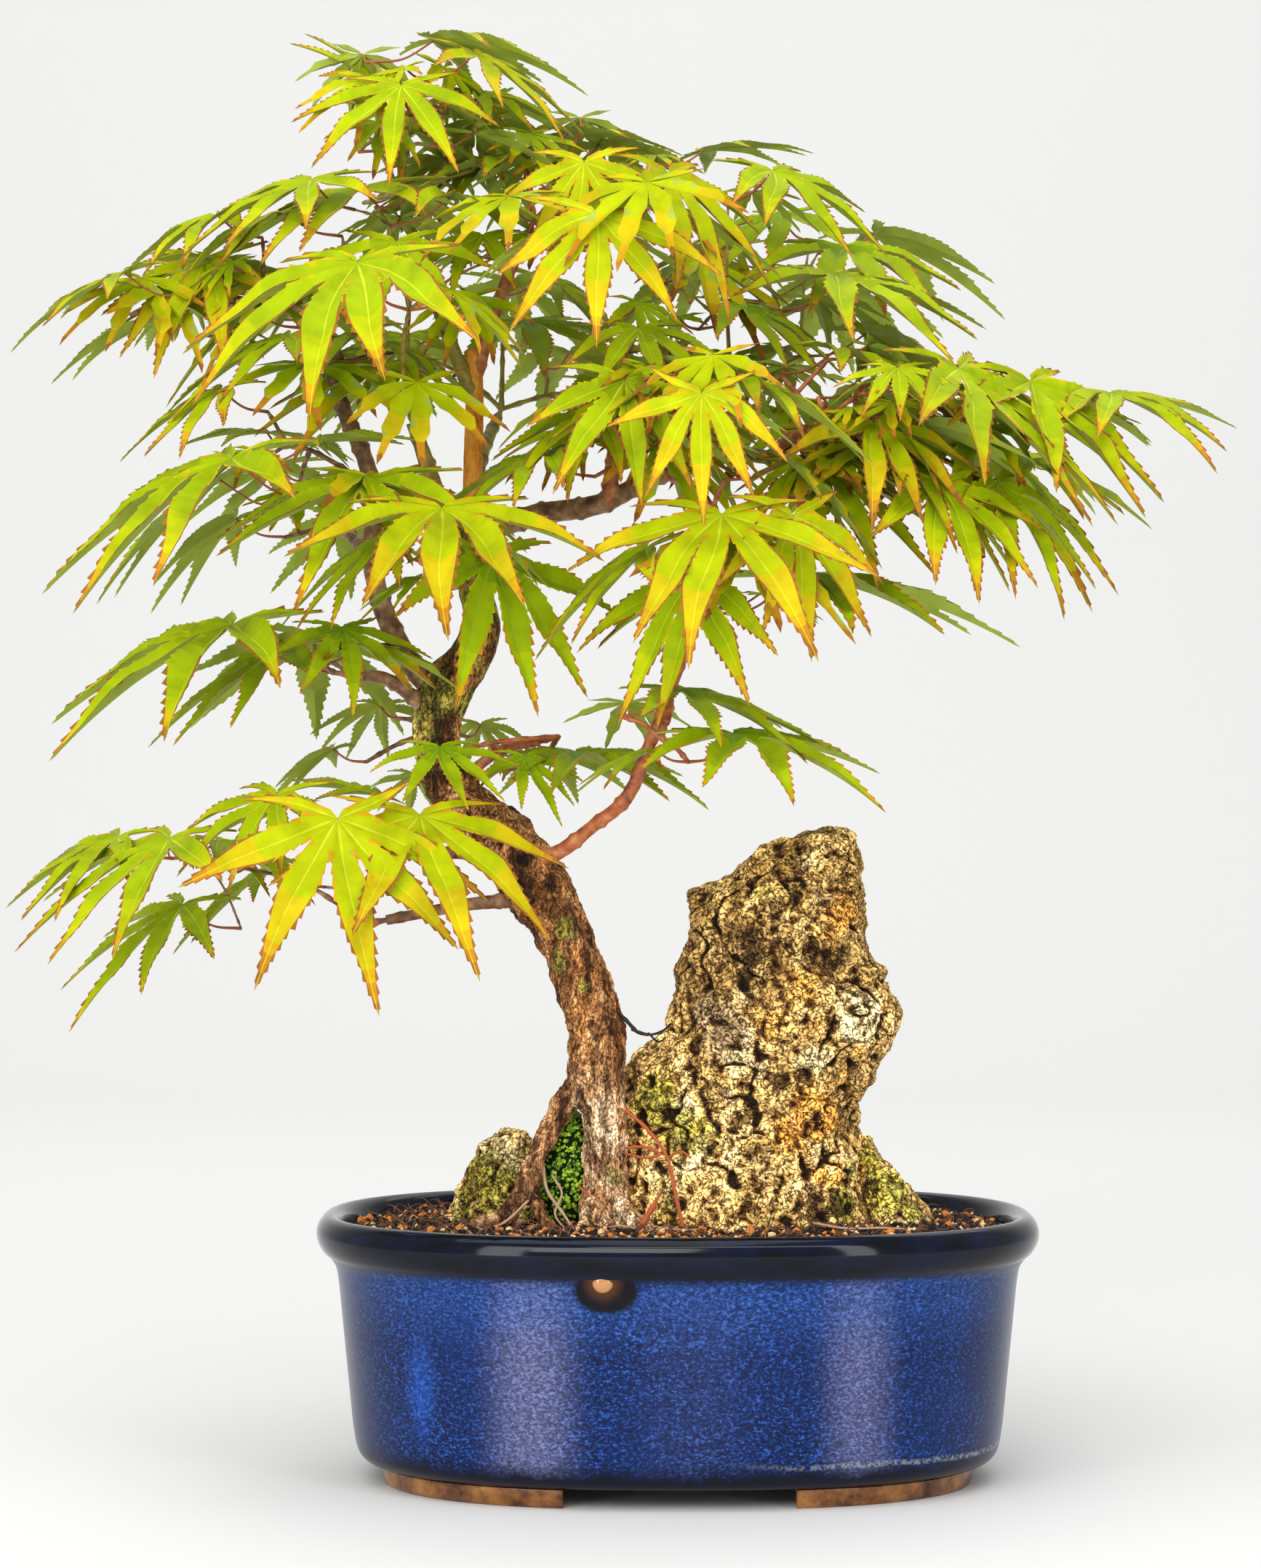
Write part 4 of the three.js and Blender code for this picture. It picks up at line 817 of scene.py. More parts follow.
BOUGHS = {
    "left": [[-73, -5, 239, 3.8], [-80, -8, 246, 3.4], [-91, -10, 269, 3], [-94, -8, 306, 2.6],
             [-102, -10, 326, 2.3], [-107, -12, 345, 2]],
    "left_side": [[-94, -9, 296, 1.9], [-97, -14, 300, 1.8], [-100, -21, 304, 1.6]],
    "left_middle": [[-72, -6, 226, 2.6], [-80, -10, 237, 2.3], [-89, -14, 243, 2], [-98, -16, 244, 1.6]],
    "low_left": [[-42, -11, 176, 2.4], [-60, -17, 175, 2], [-88, -20, 170, 1.5]],
    "low_left_front": [[-48, -10, 187, 2.2], [-64, -20, 190, 1.9], [-79, -32, 190, 1.5]],
    "waist": [[-66, -7, 212, 1.8], [-54, -8, 221, 1.5], [-42, -8, 224, 1.3]],
    "low_right": [[-50, -10, 188, 2.6], [-37, -19, 190, 2.3], [-26, -24, 198, 2], [-15.5, -29, 207, 2.1],
                  [-9, -31, 222, 1.8], [-2.8, -32, 238, 1.7], [3, -32, 254, 1.6]],
    "low_right_side": [[-3, -32, 236, 1.7], [-3, -36, 233, 1.5], [-4, -39, 229, 1.3]],
    "front": [[-62, -4, 272, 1.8], [-62, -14, 280, 1.6], [-62, -24, 286, 1.4]],
    "olive": [[-64, -4, 278, 2.8], [-69, -9, 288, 2.6], [-75, -14, 305, 2.4], [-80, -18, 320, 2.1]],
    "top": [[-62, -1, 328, 2.3], [-67, -3, 340, 2.1], [-77, -4, 367, 1.8], [-83, -3, 385, 1.5]],
    "top_right": [[-62, 0, 334, 2], [-54, -5, 360, 1.8], [-46, -10, 377, 1.5]],
    "right": [[-62, -4, 287, 3.6], [-43, -6, 293, 3.3], [-24, -9, 296, 3.1], [-7, -11, 304, 2.6],
              [16, -12, 311, 2.3], [39, -12, 309, 2], [50, -12, 314, 1.6]],
    "right_up": [[-21, -10, 296, 2.5], [-20, -13, 306, 2.3], [-19, -18, 315, 1.8]],
    "right_front": [[-3, -11, 305, 1.8], [2, -22, 302, 1.6], [8, -34, 296, 1.3]],
    "right_near": [[27, -12, 310, 1.8], [34, -21, 315, 1.6], [40, -30, 317, 1.3]],
    "right_back": [[-10, -11, 302, 2], [0, 4, 312, 1.8], [14, 20, 324, 1.5]],
    "back": [[-62, -2, 304, 2.6], [-60, 14, 314, 2.2], [-56, 34, 326, 1.6]],
    "back_left": [[-92, -9, 276, 2], [-97, 10, 284, 1.8], [-104, 28, 290, 1.4]],
    "back_low": [[-71, -7, 214, 2], [-72, 10, 222, 1.7], [-76, 26, 226, 1.3]],
}
# Knobs of the trunk: x, y, z, radius and rise
KNOBS = [
    [-42, -20, 178, 3.2, 2.2], [-50, -17, 184, 3, 1.8], [-36, -19, 183, 2.6, 1.6], [-31, -20, 160, 2.4, 0.9],
    [-56, -15, 200, 3, 1.6], [-44, -19, 190, 2.4, 1.4], [-70, -13, 236, 3.2, 2], [-77, -10, 232, 2.6, 1.8],
    [-66, -12, 243, 2.6, 1.6], [-58, -9, 262, 2.4, 1.5], [-68, -8, 272, 2, 1.2], [-76, -7, 242, 2.4, 1.6],
    [-73, -12, 216, 2.6, 1], [-18, -20, 130, 3, 1], [-24, -23, 112, 2.6, 0.8], [-16, -16, 138, 2.6, 1.8],
]
TRUNK_VOXEL = 0.55
# How rough the bark is from the foot up: full below the first height, nearly smooth above the last
ROUGH_HEIGHTS, ROUGHNESS = [225, 245, 265, 290], [1.0, 0.55, 0.55, 0.12]
# In metres: where the bark turns pale low down, and paler on the right as painted light, then olive, then
# russet, and where it is old
PALE_BELOW, PAINTED_LIGHT_BESIDE = (0.130, 0.112), (-0.0165, -0.0125)
OLIVE_FROM, RUSSET_FROM, OLD_BELOW = (0.207, 0.217), (0.286, 0.298), (0.288, 0.262)
# Algae, and painted shade in crevices and hollows on the front of the trunk, as on the stones
BARK_FRONT = -20
BARK_MOSS = [
    [-33, 168, 4, 1.2], [-37, 157, 3.5, 1.2], [-29, 150, 3, 0.7], [-20, 92, 4, 0.8], [-24, 106, 4, 0.5],
    [-57, 206, 5, 0.8], [-47, 194, 4, 0.6], [-43, 100, 3, 0.7],
]
BARK_SHADES = [
    [-29.5, 118, 2.6, 1.2], [-30, 125, 2.4, 1.1], [-30.5, 131, 2, 0.9], [-23, 138, 4.5, 0.6],
    [-20, 144, 3.5, 0.5], [-46, 189, 3.5, 0.8], [-38, 181, 3, 0.7], [-55, 203, 4, 0.8], [-70, 218, 3, 0.6],
    [-64, 246, 3, 0.7], [-34, 116, 2.5, 0.5], [-22, 82, 4, 0.6],
]
# The boughs of each bark, and its dark, middle and light tone
BOUGH_KINDS = {
    "brown": ("left left_side left_middle low_left low_left_front right back_left back_low",
              [(0.08, 0.03, 0.013), (0.26, 0.12, 0.05), (0.50, 0.31, 0.17)]),
    "red": ("low_right low_right_side right_front right_near waist top_right right_up",
            [(0.20, 0.045, 0.015), (0.46, 0.12, 0.035), (0.62, 0.28, 0.11)]),
    "olive": ("olive top front back right_back",
              [(0.12, 0.08, 0.015), (0.30, 0.23, 0.03), (0.46, 0.34, 0.08)]),
}


def bark_depth(spot):
    """Lumps, upright flutes, flakes and knobs of the old bark."""
    flaky = Vector((spot.x, spot.y, spot.z * 0.5)) + Vector((3, 1, 4)) * noise.noise(spot / 4)
    depth = noise.fractal(spot / 5, 0.9, 2.1, 2) * 0.75
    depth += noise.noise(Vector((spot.x, spot.y, spot.z * 0.10)) / 3.6) * 1.1
    depth += noise.fractal(Vector((spot.x, spot.y, spot.z * 0.22)) / 1.3, 0.9, 2.1, 2) * 0.3
    depth += 0.2 - abs(noise.noise(flaky / 1.7)) * 0.7 + noise.noise(spot / 0.9) * 0.14
    depth *= float(np.interp(spot.z, ROUGH_HEIGHTS, ROUGHNESS))
    for *middle, radius, rise in KNOBS:
        far = (spot - Vector(middle)).length / radius
        if far < 2:
            depth += rise * math.exp(-2 * far * far)
    return depth


def maple_bark():
    """Brown bark, pale low down and palest on its right as painted light, olive and then russet up the stem,
    with flakes, algae, and painted light and shade in its cracks, folds, hollows and crevices.
    """
    material, tree, place = patterned("maple_bark", 0.8, Specular_IOR_Level=0.25)
    across, _, height = axes(tree, place)
    patches = grains(tree, stretched(tree, place, (1, 1, 0.45)), 120, 5, 0.68)
    brown, pale, olive, russet = (ramp(tree, patches, stops) for stops in (
        [(0.34, (0.05, 0.018, 0.005)), (0.45, (0.22, 0.09, 0.028)), (0.55, (0.48, 0.23, 0.08)),
         (0.67, (0.90, 0.62, 0.33))],
        [(0.34, (0.22, 0.10, 0.04)), (0.46, (0.56, 0.34, 0.18)), (0.6, (1.0, 0.84, 0.60))],
        [(0.3, (0.10, 0.10, 0.02)), (0.5, (0.36, 0.33, 0.05)), (0.7, (0.60, 0.52, 0.15))],
        [(0.32, (0.20, 0.05, 0.010)), (0.45, (0.66, 0.20, 0.02)), (0.62, (0.85, 0.36, 0.05))]))
    # Pale bark low down, made paler toward the right side as painted light
    pale_and_painted_light = times(tree, fade(tree, height, *PALE_BELOW), fade(tree, across, *PAINTED_LIGHT_BESIDE, 0.2))
    browned = ramp(tree, grains(tree, place, 70, 3, 0.5), [(0.5, 0.0), (0.58, 1.0)])
    aged = times(tree, fade(tree, height, *OLD_BELOW, 0.15), 0.9)
    flakes = wrinkled(tree, stretched(tree, place, (1, 1, 0.6)), 860)
    # Painted shade in the cracks between the flakes, lighter on the flakes
    lines = ramp(tree, flakes, [(0.0, (0.10, 0.055, 0.03)), (0.03, (0.36, 0.26, 0.18)),
                                (0.07, (1.0, 0.97, 0.93)), (0.15, (1.4, 1.36, 1.3))])
    # Painted shade and light of long upright folds
    fold_light_and_shade = ramp(tree, grains(tree, stretched(tree, place, (1, 1, 0.16)), 240, 3, 0.65), [
        (0.38, (0.20, 0.14, 0.10)), (0.5, (0.95, 0.93, 0.9)), (0.62, (1.45, 1.4, 1.32))])
    # Painted shade in the hollows and painted light on the high places, from the stored relief
    hollows = relief_light_and_shade(tree, [(0.1, (0.12, 0.08, 0.05)), (0.35, (0.6, 0.53, 0.46)), (0.5, (1.0, 1.0, 1.0)),
                                   (0.8, (1.3, 1.28, 1.25))])
    link(material, layered(tree, brown, [
        [pale_and_painted_light, pale],
        [fade(tree, height, *OLIVE_FROM), blend_colours(tree, browned, olive, brown)],
        [fade(tree, height, *RUSSET_FROM), russet],
        [times(tree, stain(tree, place, BARK_MOSS, BARK_FRONT, 160, 2.2), 0.7), (0.26, 0.28, 0.045)],
        [aged, lines, "MULTIPLY"],
        [aged, fold_light_and_shade, "MULTIPLY"],
        [1.0, hollows, "MULTIPLY"],
        # Painted shade in the crevices on the trunk's front
        [times(tree, stain(tree, place, BARK_SHADES, BARK_FRONT, 260, 2.4), 0.9),
         (0.12, 0.09, 0.06), "MULTIPLY"],
    ]), "Base Color")
    streaks = grains(tree, stretched(tree, place, (1, 1, 0.2)), 900, 3, 0.7)
    bump_from(material, maths(tree, "MULTIPLY_ADD", streaks, 0.4, flakes), 0.8, 0.0007)
    return material


trunk_lines = [curve_through(TRUNK, 220)] + [curve_through(root, 10 * len(root)) for root in ROOTS]
trunk_bm = bmesh.new()
trunk_bm.from_mesh(evaluated(tube_mesh(trunk_lines, 8), "REMESH", mode="VOXEL", voxel_size=TRUNK_VOXEL * MM,
                             use_smooth_shade=True))
smooth_skin(trunk_bm, 3)
trunk_mesh = mesh_from_bmesh(trunk_bm)
keep_relief(trunk_mesh, push_along_normals(trunk_mesh, bark_depth), passes=10, gain=1.1)
dress("trunk_bark", trunk_mesh, [maple_bark()], "bark", ["trunk"])

barks, bark_of = {}, {}
for kind, (names, tones) in BOUGH_KINDS.items():
    names = names.split()
    bark_of.update(dict.fromkeys(names, kind))
    barks[kind] = grainy(f"{kind}_bark", 0.5, [260, 4], list(zip((0.32, 0.5, 0.7), tones)), [900, 0.35, 0.0003])
    bough_mesh = tube_mesh([knuckled(smooth_line(BOUGHS[name], 24), 5 + k) for k, name in enumerate(names)], 6)
    push_along_normals(bough_mesh, lambda spot: 0.16 * noise.fractal(spot / 2.2, 0.9, 2.1, 2))
    dress(f"boughs_{kind}", bough_mesh, [barks[kind]], "bark", [f"bough_{name}" for name in names])


# Moss cushion between the trunk's legs: many small scales on an upright oval core, whose dark colour is painted
# shade between them
MOSS_MIDDLE = [-33, -11, 91]
MOSS_CORE = 0.94 * np.array([9, 8, 22])
MOSS_FOOT = 76
MOSS_SCALES = 1300


def scattered_balls(spots, sizes, seed, squash):
    """Small irregular twenty-faced balls, joined."""
    rng = np.random.default_rng(seed)
    bm = bmesh.new()
    bmesh.ops.create_icosphere(bm, subdivisions=1, radius=1)
    ball = np.array([corner.co for corner in bm.verts])
    faces = np.array([[corner.index for corner in face.verts] for face in bm.faces])
    bm.free()
    count = len(spots)
    stretch = rng.uniform(squash, 1.25, (count, 1, 3))
    uneven = rng.uniform(0.85, 1.15, (count, len(ball), 1))
    points = spots[:, None, :] + ball * stretch * uneven * sizes[:, None, None]
    corners = faces[None] + (np.arange(count) * len(ball))[:, None, None]
    return mesh_from_arrays(points.reshape(-1, 3), corners.reshape(-1, 3).tolist())


moss_rng = np.random.default_rng(12)
around = moss_rng.uniform(0, 2 * math.pi, MOSS_SCALES)
upward = moss_rng.uniform(-0.55, 0.98, MOSS_SCALES)
out = np.sqrt(1 - upward ** 2)
cushion = np.stack([out * np.cos(around), out * np.sin(around), upward], 1) * MOSS_CORE
cushion = cushion * moss_rng.uniform(0.9, 1.04, (MOSS_SCALES, 1)) + MOSS_MIDDLE
core = ball_bmesh(24, 20, MOSS_CORE, MOSS_MIDDLE)
for corner in core.verts:
    corner.co.z = max(corner.co.z, MOSS_FOOT)
# The core's dark colour is painted shade in the gaps between the scales
moss_shade = new_material("moss_shade", 0.95, (0.006, 0.012, 0.003), Specular_IOR_Level=0.1)
moss_green = grainy("moss_green", 0.9, [900], [
    (0.40, (0.02, 0.07, 0.003)), (0.49, (0.11, 0.25, 0.007)), (0.6, (0.45, 0.64, 0.03))])
dress("moss_shade_core", mesh_from_mm(core), [moss_shade], "moss", ["moss"])
scale_mesh = scattered_balls(cushion, moss_rng.uniform(0.45, 0.95, MOSS_SCALES), seed=13, squash=0.75)
dress("moss_scales", scale_mesh, [moss_green], "moss", smooth=False)


# Loose grains and fibres on the soil. A kind of grain has its share, smallest and largest size, and colour.
GRAIN_KINDS = {
    "dark": (0.50, 0.5, 1.4, (0.010, 0.005, 0.003)),
    "brown": (0.27, 0.5, 1.5, (0.11, 0.042, 0.015)),
    "orange": (0.11, 0.5, 1.7, (0.70, 0.22, 0.035)),
    "tan": (0.12, 0.4, 1.3, (0.90, 0.62, 0.30)),
}
FIBRE_RADII = (0.16, 0.2, 0.16, 0.08)


def fibre(seed):
    """A short bent root fibre on the soil, or nothing where it would lie beyond the rim."""
    roll = dice(seed)
    x, y = (roll(-half, half) for half in FIBRE_SPAN)
    if soil_reach(x, y) > FIBRES_REACH:
        return []
    heading = math.radians(roll(0, 360))
    step_long = roll(3, 11) / 3
    bend = roll(-0.6, 0.6)
    spots = [np.array([x, y, soil_height(x, y)])]
    for step in range(1, 4):
        angle = heading + bend * step
        rise = roll(0.2, 1.6) if step < 3 else roll(-0.8, 1.5)
        spots.append(spots[-1] + [math.cos(angle) * step_long, math.sin(angle) * step_long, rise])
    return [smooth_line([[*spot, radius] for spot, radius in zip(spots, FIBRE_RADII)], 3)]


for number, (kind, (share, small, large, colour)) in enumerate(GRAIN_KINDS.items()):
    count = int(GRAIN_COUNT * share)
    sizes = soil_rng.uniform(small, large, count)
    grain_mesh = scattered_balls(soil_spots(count, -0.6, 0.5), sizes, seed=40 + number, squash=0.5)
    dress(f"soil_grains_{kind}", grain_mesh, [new_material(f"grain_{kind}", 0.9, colour)], "soil", smooth=False)
fibres = [line for k in range(FIBRE_COUNT) for line in fibre(600 + k)]
dress("soil_fibres", tube_mesh(fibres, 0), [new_material("root_fibre", 0.8, (0.20, 0.085, 0.04))], "soil")


# Fine roots, a red shoot and dead bits round the trunk's foot: [x, y, z, radius]
FINE_ROOTS = {
    "red": ((0.46, 0.10, 0.035), [
        [[-16, -22, 113, 0.5], [-9, -25, 107, 0.55], [-3.3, -28, 99, 0.5], [-1.1, -30.5, 89, 0.5],
         [1.8, -33, 77, 0.6]],
        [[-16, -23, 101.5, 0.4], [-10, -25.5, 102, 0.45], [-5.5, -27, 100, 0.4], [-10, -26, 98.8, 0.4],
         [-16, -23.5, 100, 0.35]],
        [[-12.6, -34, 77, 0.5], [-10, -33, 81, 0.95], [-7.5, -32, 85, 0.8], [-5, -31, 89.5, 0.15]],
        [[-3.3, -28, 99, 0.4], [1, -30, 101, 0.3], [4, -31, 99, 0.2]],
        [[-30, -22, 90, 0.35], [-26, -26, 86, 0.4], [-25, -28, 79, 0.35]],
    ]),
    "pale": ((0.50, 0.33, 0.20), [
        [[-41, -19, 98, 0.5], [-39.5, -22, 89, 0.5], [-34.5, -26, 82, 0.45], [-31, -29, 77, 0.4]],
        [[-38, -20, 93, 0.35], [-35, -23, 88, 0.35], [-37, -26, 82, 0.3], [-34, -28, 77.5, 0.3]],
        [[-28, -26, 80, 0.4], [-22, -32, 78.6, 0.4], [-17, -36, 79.4, 0.3], [-12, -38, 78.4, 0.3]],
        [[-13, -24, 83, 0.4], [-8, -31, 79, 0.4], [-2, -38, 78.6, 0.35], [5, -44, 79, 0.25]],
        [[-45, -26, 86, 0.4], [-52, -31, 80, 0.4], [-58, -37, 78.5, 0.35], [-66, -40, 78.8, 0.25]],
        [[40, -33, 80, 0.35], [50, -40, 79, 0.35], [60, -42, 79.4, 0.3], [68, -38, 78.6, 0.25]],
    ]),
    "dark": ((0.030, 0.015, 0.009), [
        [[-18, -17, 142, 0.5], [-15, -19, 139, 0.6], [-12, -19, 136, 0.5], [-9, -21, 135.5, 0.4]],
        [[-14, -19, 137, 0.5], [-9, -21, 135.5, 0.4], [-5, -22, 136.5, 0.35], [-2, -23, 139, 0.3]],
        [[-9, -21, 136, 0.35], [-6, -23, 133.5, 0.3], [-4, -24, 134.5, 0.25]],
    ]),
}
for kind, (colour, lines) in FINE_ROOTS.items():
    lines = [knuckled(smooth_line(line, 10), 900 + k, spacing=5.0, swelling=0.3)
             for k, line in enumerate(lines)]
    finish = new_material(f"{kind}_root", 0.6, colour, Specular_IOR_Level=0.3)
    dress(f"fine_roots_{kind}", tube_mesh(lines, 2), [finish], "bark")


# Foliage, by the rule of the part's source. A lead leaf is [x, y, z of its hub, heading, fall, size], and a
# seventh value counts the mates that share its stalk's foot; tints has one letter for each lead leaf. A pad is
# its middle, its radii, its leaf count and size. The finer growth is this script's own: inner counts the small
# leaves behind each lead leaf, young the lead leaves with a small leaf opposite, more lists single leaves with
# their tint, and grown is the share of the source's leaf size at which a mass at the back is drawn.
MASSES = {
    "crown_front": dict(bough="olive", tints="llff", inner=1, leads=[
        [-93, -80, 361, 243, 36, 75], [-96, -18, 391, 224, 20, 64], [-68, -30, 387, 332, 13, 54],
        [-59, -24, 376, 258, 28, 37]],
        more=[[-110, -30, 392, 232, 25, 50, "l"], [-84, -40, 372, 262, 40, 46, "f"]]),
    "trunk": dict(bough="front", tints="bgf", leads=[
        [-69, -72, 291, 274, 27, 71], [-55, -46, 278, 305, 58, 60], [-88, -36, 284, 208, 36, 48]]),
    "low_left_front": dict(bough="low_left_front", tints="blbf", young=2, leads=[
        [-99, -75, 201, 288, 61, 66], [-119, -46, 208, 234, 39, 44], [-76, -58, 202, 284, 35, 65],
        [-91, -30, 208, 157, -19, 30]]),
    "right_front": dict(bough="right_front", tints="bb", inner=1, leads=[
        [12, -74, 289, 262, 40, 66], [33, -68, 289, 305, 70, 51]], more=[[-10, -60, 280, 200, 35, 50, "l"]]),
    "centre": dict(bough="right_up", tints="ffbl", inner=4, leads=[
        [-12, -34, 347, 285, 28, 40], [-16, -60, 329, 283, 60, 49], [6, -86, 323, 266, 67, 41],
        [18, -54, 331, 342, 24, 50]],
        more=[[-40, -34, 310, 215, 25, 46, "f"], [-24, -30, 322, 250, 30, 44, "l"]]),
    "right_far": dict(bough="right", tints="lllf", inner=2, leads=[
        [83, -44, 334, 325, 41, 69], [106, -24, 332, 315, 40, 66], [132, -8, 330, 299, 15, 52],
        [89, 34, 319, 308, 35, 78]],
        more=[[78, -40, 300, 300, 45, 54, "l"], [96, -20, 302, 320, 45, 52, "f"]],
        pad=([92, 32, 328], [22, 14, 8], 2, 50)),
    "top_right": dict(bough="top_right", tints="bbbffg", inner=2, leads=[
        [-28, -52, 394, 259, 68, 38], [-24, -82, 375, 278, 62, 50], [-3, -50, 391, 319, 51, 53],
        [-33, 10, 412, 20, 0, 42], [-24, 24, 410, 60, 10, 44], [-51, 2, 402, 190, 8, 54]]),
    "top": dict(bough="top", tints="llfbf", inner=2, leads=[
        [-83, -30, 420, 261, 45, 44], [-90, 8, 425, 150, -44, 40], [-74, -4, 438, 8, 2, 50],
        [-61, -22, 431, 330, 31, 45], [-62, 28, 424, 70, 24, 46, 1]]),
    "upper_left": dict(bough="left", tints="blfff", inner=2, leads=[
        [-145, 0, 371, 251, 49, 49], [-168, -14, 366, 200, 24, 49], [-158, 20, 356, 186, 14, 42],
        [-118, -14, 347, 215, 23, 49, 1], [-140, 6, 372, 130, -10, 40]],
        more=[[-120, -4, 386, 205, 22, 48, "f"], [-140, -8, 384, 215, 25, 40, "l"]],
        pad=([-126, 34, 362], [22, 16, 8], 2, 46)),
    "right": dict(bough="right_near", tints="llfl", inner=4, leads=[
        [44, -24, 305, 304, 40, 52], [64, -56, 333, 272, 31, 30], [48, -22, 342, 335, 16, 48],
        [66, -28, 312, 338, 40, 59]], more=[[58, -40, 318, 300, 40, 50, "b"]]),
    "left": dict(bough="left_side", tints="llffg", leads=[
        [-132, -50, 307, 213, 29, 78], [-125, -8, 318, 120, -8, 34], [-92, -46, 301, 244, 27, 63],
        [-111, -26, 313, 353, -15, 36], [-140, -4, 304, 185, 34, 60]],
        more=[[-138, -20, 330, 215, 30, 42, "l"]]),
    "left_middle": dict(bough="left_middle", tints="fgg", young=1, leads=[
        [-134, -25, 259, 215, 23, 78, 1], [-120, 2, 253, 212, 29, 55], [-101, -24, 258, 291, 34, 38]]),
    "low_left": dict(bough="low_left", tints="llfg", young=2, leads=[
        [-152, -34, 195, 222, 29, 62], [-170, -12, 195, 212, 27, 47, 1], [-152, 4, 174, 217, 32, 54],
        [-126, 24, 185, 190, 29, 43]]),
    "low_right": dict(bough="low_right_side", tints="gg", leads=[
        [0, -46, 239, 325, 14, 54], [16, -52, 226, 304, 13, 59]]),
    "middle_right": dict(bough="low_right", tints="lg", leads=[
        [4, -64, 271, 239, 70, 51], [35, -14, 274, 320, 5, 76]]),
    "waist": dict(bough="waist", tints="ggg", leads=[
        [-71, -38, 222, 284, 33, 31], [-31, 2, 221, 305, 9, 50, 1], [-46, -20, 219, 300, 46, 26]]),
    "right_back": dict(bough="right_back", tints="lffgf", inner=1, leads=[
        [29, -12, 397, 313, 30, 50], [9, 20, 408, 12, -10, 38], [48, -8, 366, 307, 17, 63],
        [20, 4, 358, 320, 28, 44], [60, 26, 352, 10, 26, 56]], pad=([40, 46, 372], [34, 26, 20], 6, 50)),
    "back": dict(bough="back", tints="gfg", young=0, grown=0.8, leads=[
        [-52, 66, 372, 80, 30, 54, 1], [-88, 56, 352, 120, 34, 54, 1], [-20, 64, 342, 60, 36, 54, 1]],
        pad=([-50, 50, 338], [36, 26, 22], 4, 50)),
    "back_left": dict(bough="back_left", tints="fgf", young=0, grown=0.75, leads=[
        [-126, 46, 312, 130, 30, 56], [-106, 58, 296, 95, 40, 54], [-138, 30, 294, 165, 34, 56]]),
    "back_low": dict(bough="back_low", tints="fgfg", young=0, grown=0.55, leads=[
        [-94, 50, 236, 125, 30, 54], [-62, 54, 230, 70, 34, 52], [-108, 34, 222, 165, 30, 52],
        [-82, 30, 214, 100, 40, 40]]),
}
# The tint of a mate, and of the finer growth, by the tint of its lead leaf
DARKER = {"b": "l", "l": "f", "f": "f", "g": "g"}
# Brighter tints for the finer growth: painted light where it lies in shade
PAINTED_LIGHT_BEHIND = {"b": "b", "l": "b", "f": "l", "g": "f"}
PAD_TINTS = "gfg"
INNER_SPAN = (0.3, 0.95)
INNER_FARTHEST_BACK = 96
LOBES = [(-116, 0.45), (-70, 0.82), (-34, 0.95), (0, 1.0), (34, 0.95), (70, 0.82), (116, 0.45)]
LOBE_HALF_WIDTH = 0.081
NOTCH_AT = 0.17
STALK_NOTCH_AT = 0.05
STALK_SIDE = 150
LOBE_HANG = 28
# How far the lobes of a leaf differ: in degrees sideways, as a share of their hang, in sway and in length
SIDEWAYS, HANGING, SWAY, DRAWN = (-9, 9), (0.82, 1.18), (-0.08, 0.08), (0.8, 1.04)
FOLD = (16, 32)
STALK_RISE = 20
STALK_LENGTH = 0.42
STALK_RADII = (0.36, 0.38, 0.6)
THINNEST_TWIG = 0.65
TWIG_RADIUS = 1.5
TWIG_REACH = 110
TWIG_FINENESS = 0.55
LEAD_SEED = 100
MATE_SEED = 31
PAD_SEED = 71
YOUNG_SEED = 131
INNER_SEED = 231
TWIG_SEED = 300
TURN_SEED = 17
FIRST_NODE = 6
WAY_HOME = 0.3
SHORTEST_TWIG = 1
MATE_TURN = 120
YOUNG_TURN = 100
MATE_SHARE = 0.8
GOLDEN_ANGLE = 137.5
UP = np.array([0.0, 0.0, 1.0])


def leaf_at(hub, heading, fall, size, tint, pattern="full", **more):
    return {"hub": np.array(hub, float), "heading": heading, "fall": fall, "size": size, "tint": tint,
            "pattern": pattern, **more}


def direction(heading, fall):
    turned, pitched = math.radians(heading), math.radians(fall)
    level = math.cos(pitched)
    return np.array([math.cos(turned) * level, math.sin(turned) * level, -math.sin(pitched)])


def stalk_foot(leaf):
    return leaf["hub"] - STALK_LENGTH * leaf["size"] * direction(leaf["heading"], -STALK_RISE)


def leaf_opposite(leader, *looks):
    """A leaf whose stalk starts at the foot of its leader's stalk."""
    foot = stalk_foot(leader)
    leaf = leaf_at(foot, *looks, foot=foot)
    leaf["hub"] = foot + (foot - stalk_foot(leaf))
    return leaf


def lead_leaves(mass):
    return [leaf_at(lead[:3], *lead[3:5], lead[5] * mass.get("grown", 1), tint)
            for lead, tint in zip(mass["leads"], mass["tints"])]


def mate_leaves(mass, leaders, seed):
    roll = dice(seed)
    made = []
    for i, (lead, leader) in enumerate(zip(mass["leads"], leaders)):
        for k in range(sum(lead[6:])):
            side = 1 if (i + k) % 2 else -1
            size = leader["size"] * MATE_SHARE * roll(0.9, 1.05)
            heading = leader["heading"] + side * (MATE_TURN + roll(-12, 12))
            fall = abs(leader["fall"]) * 0.6 + roll(4, 18)
            made.append(leaf_opposite(leader, heading, fall, size, DARKER[leader["tint"]]))
    return made


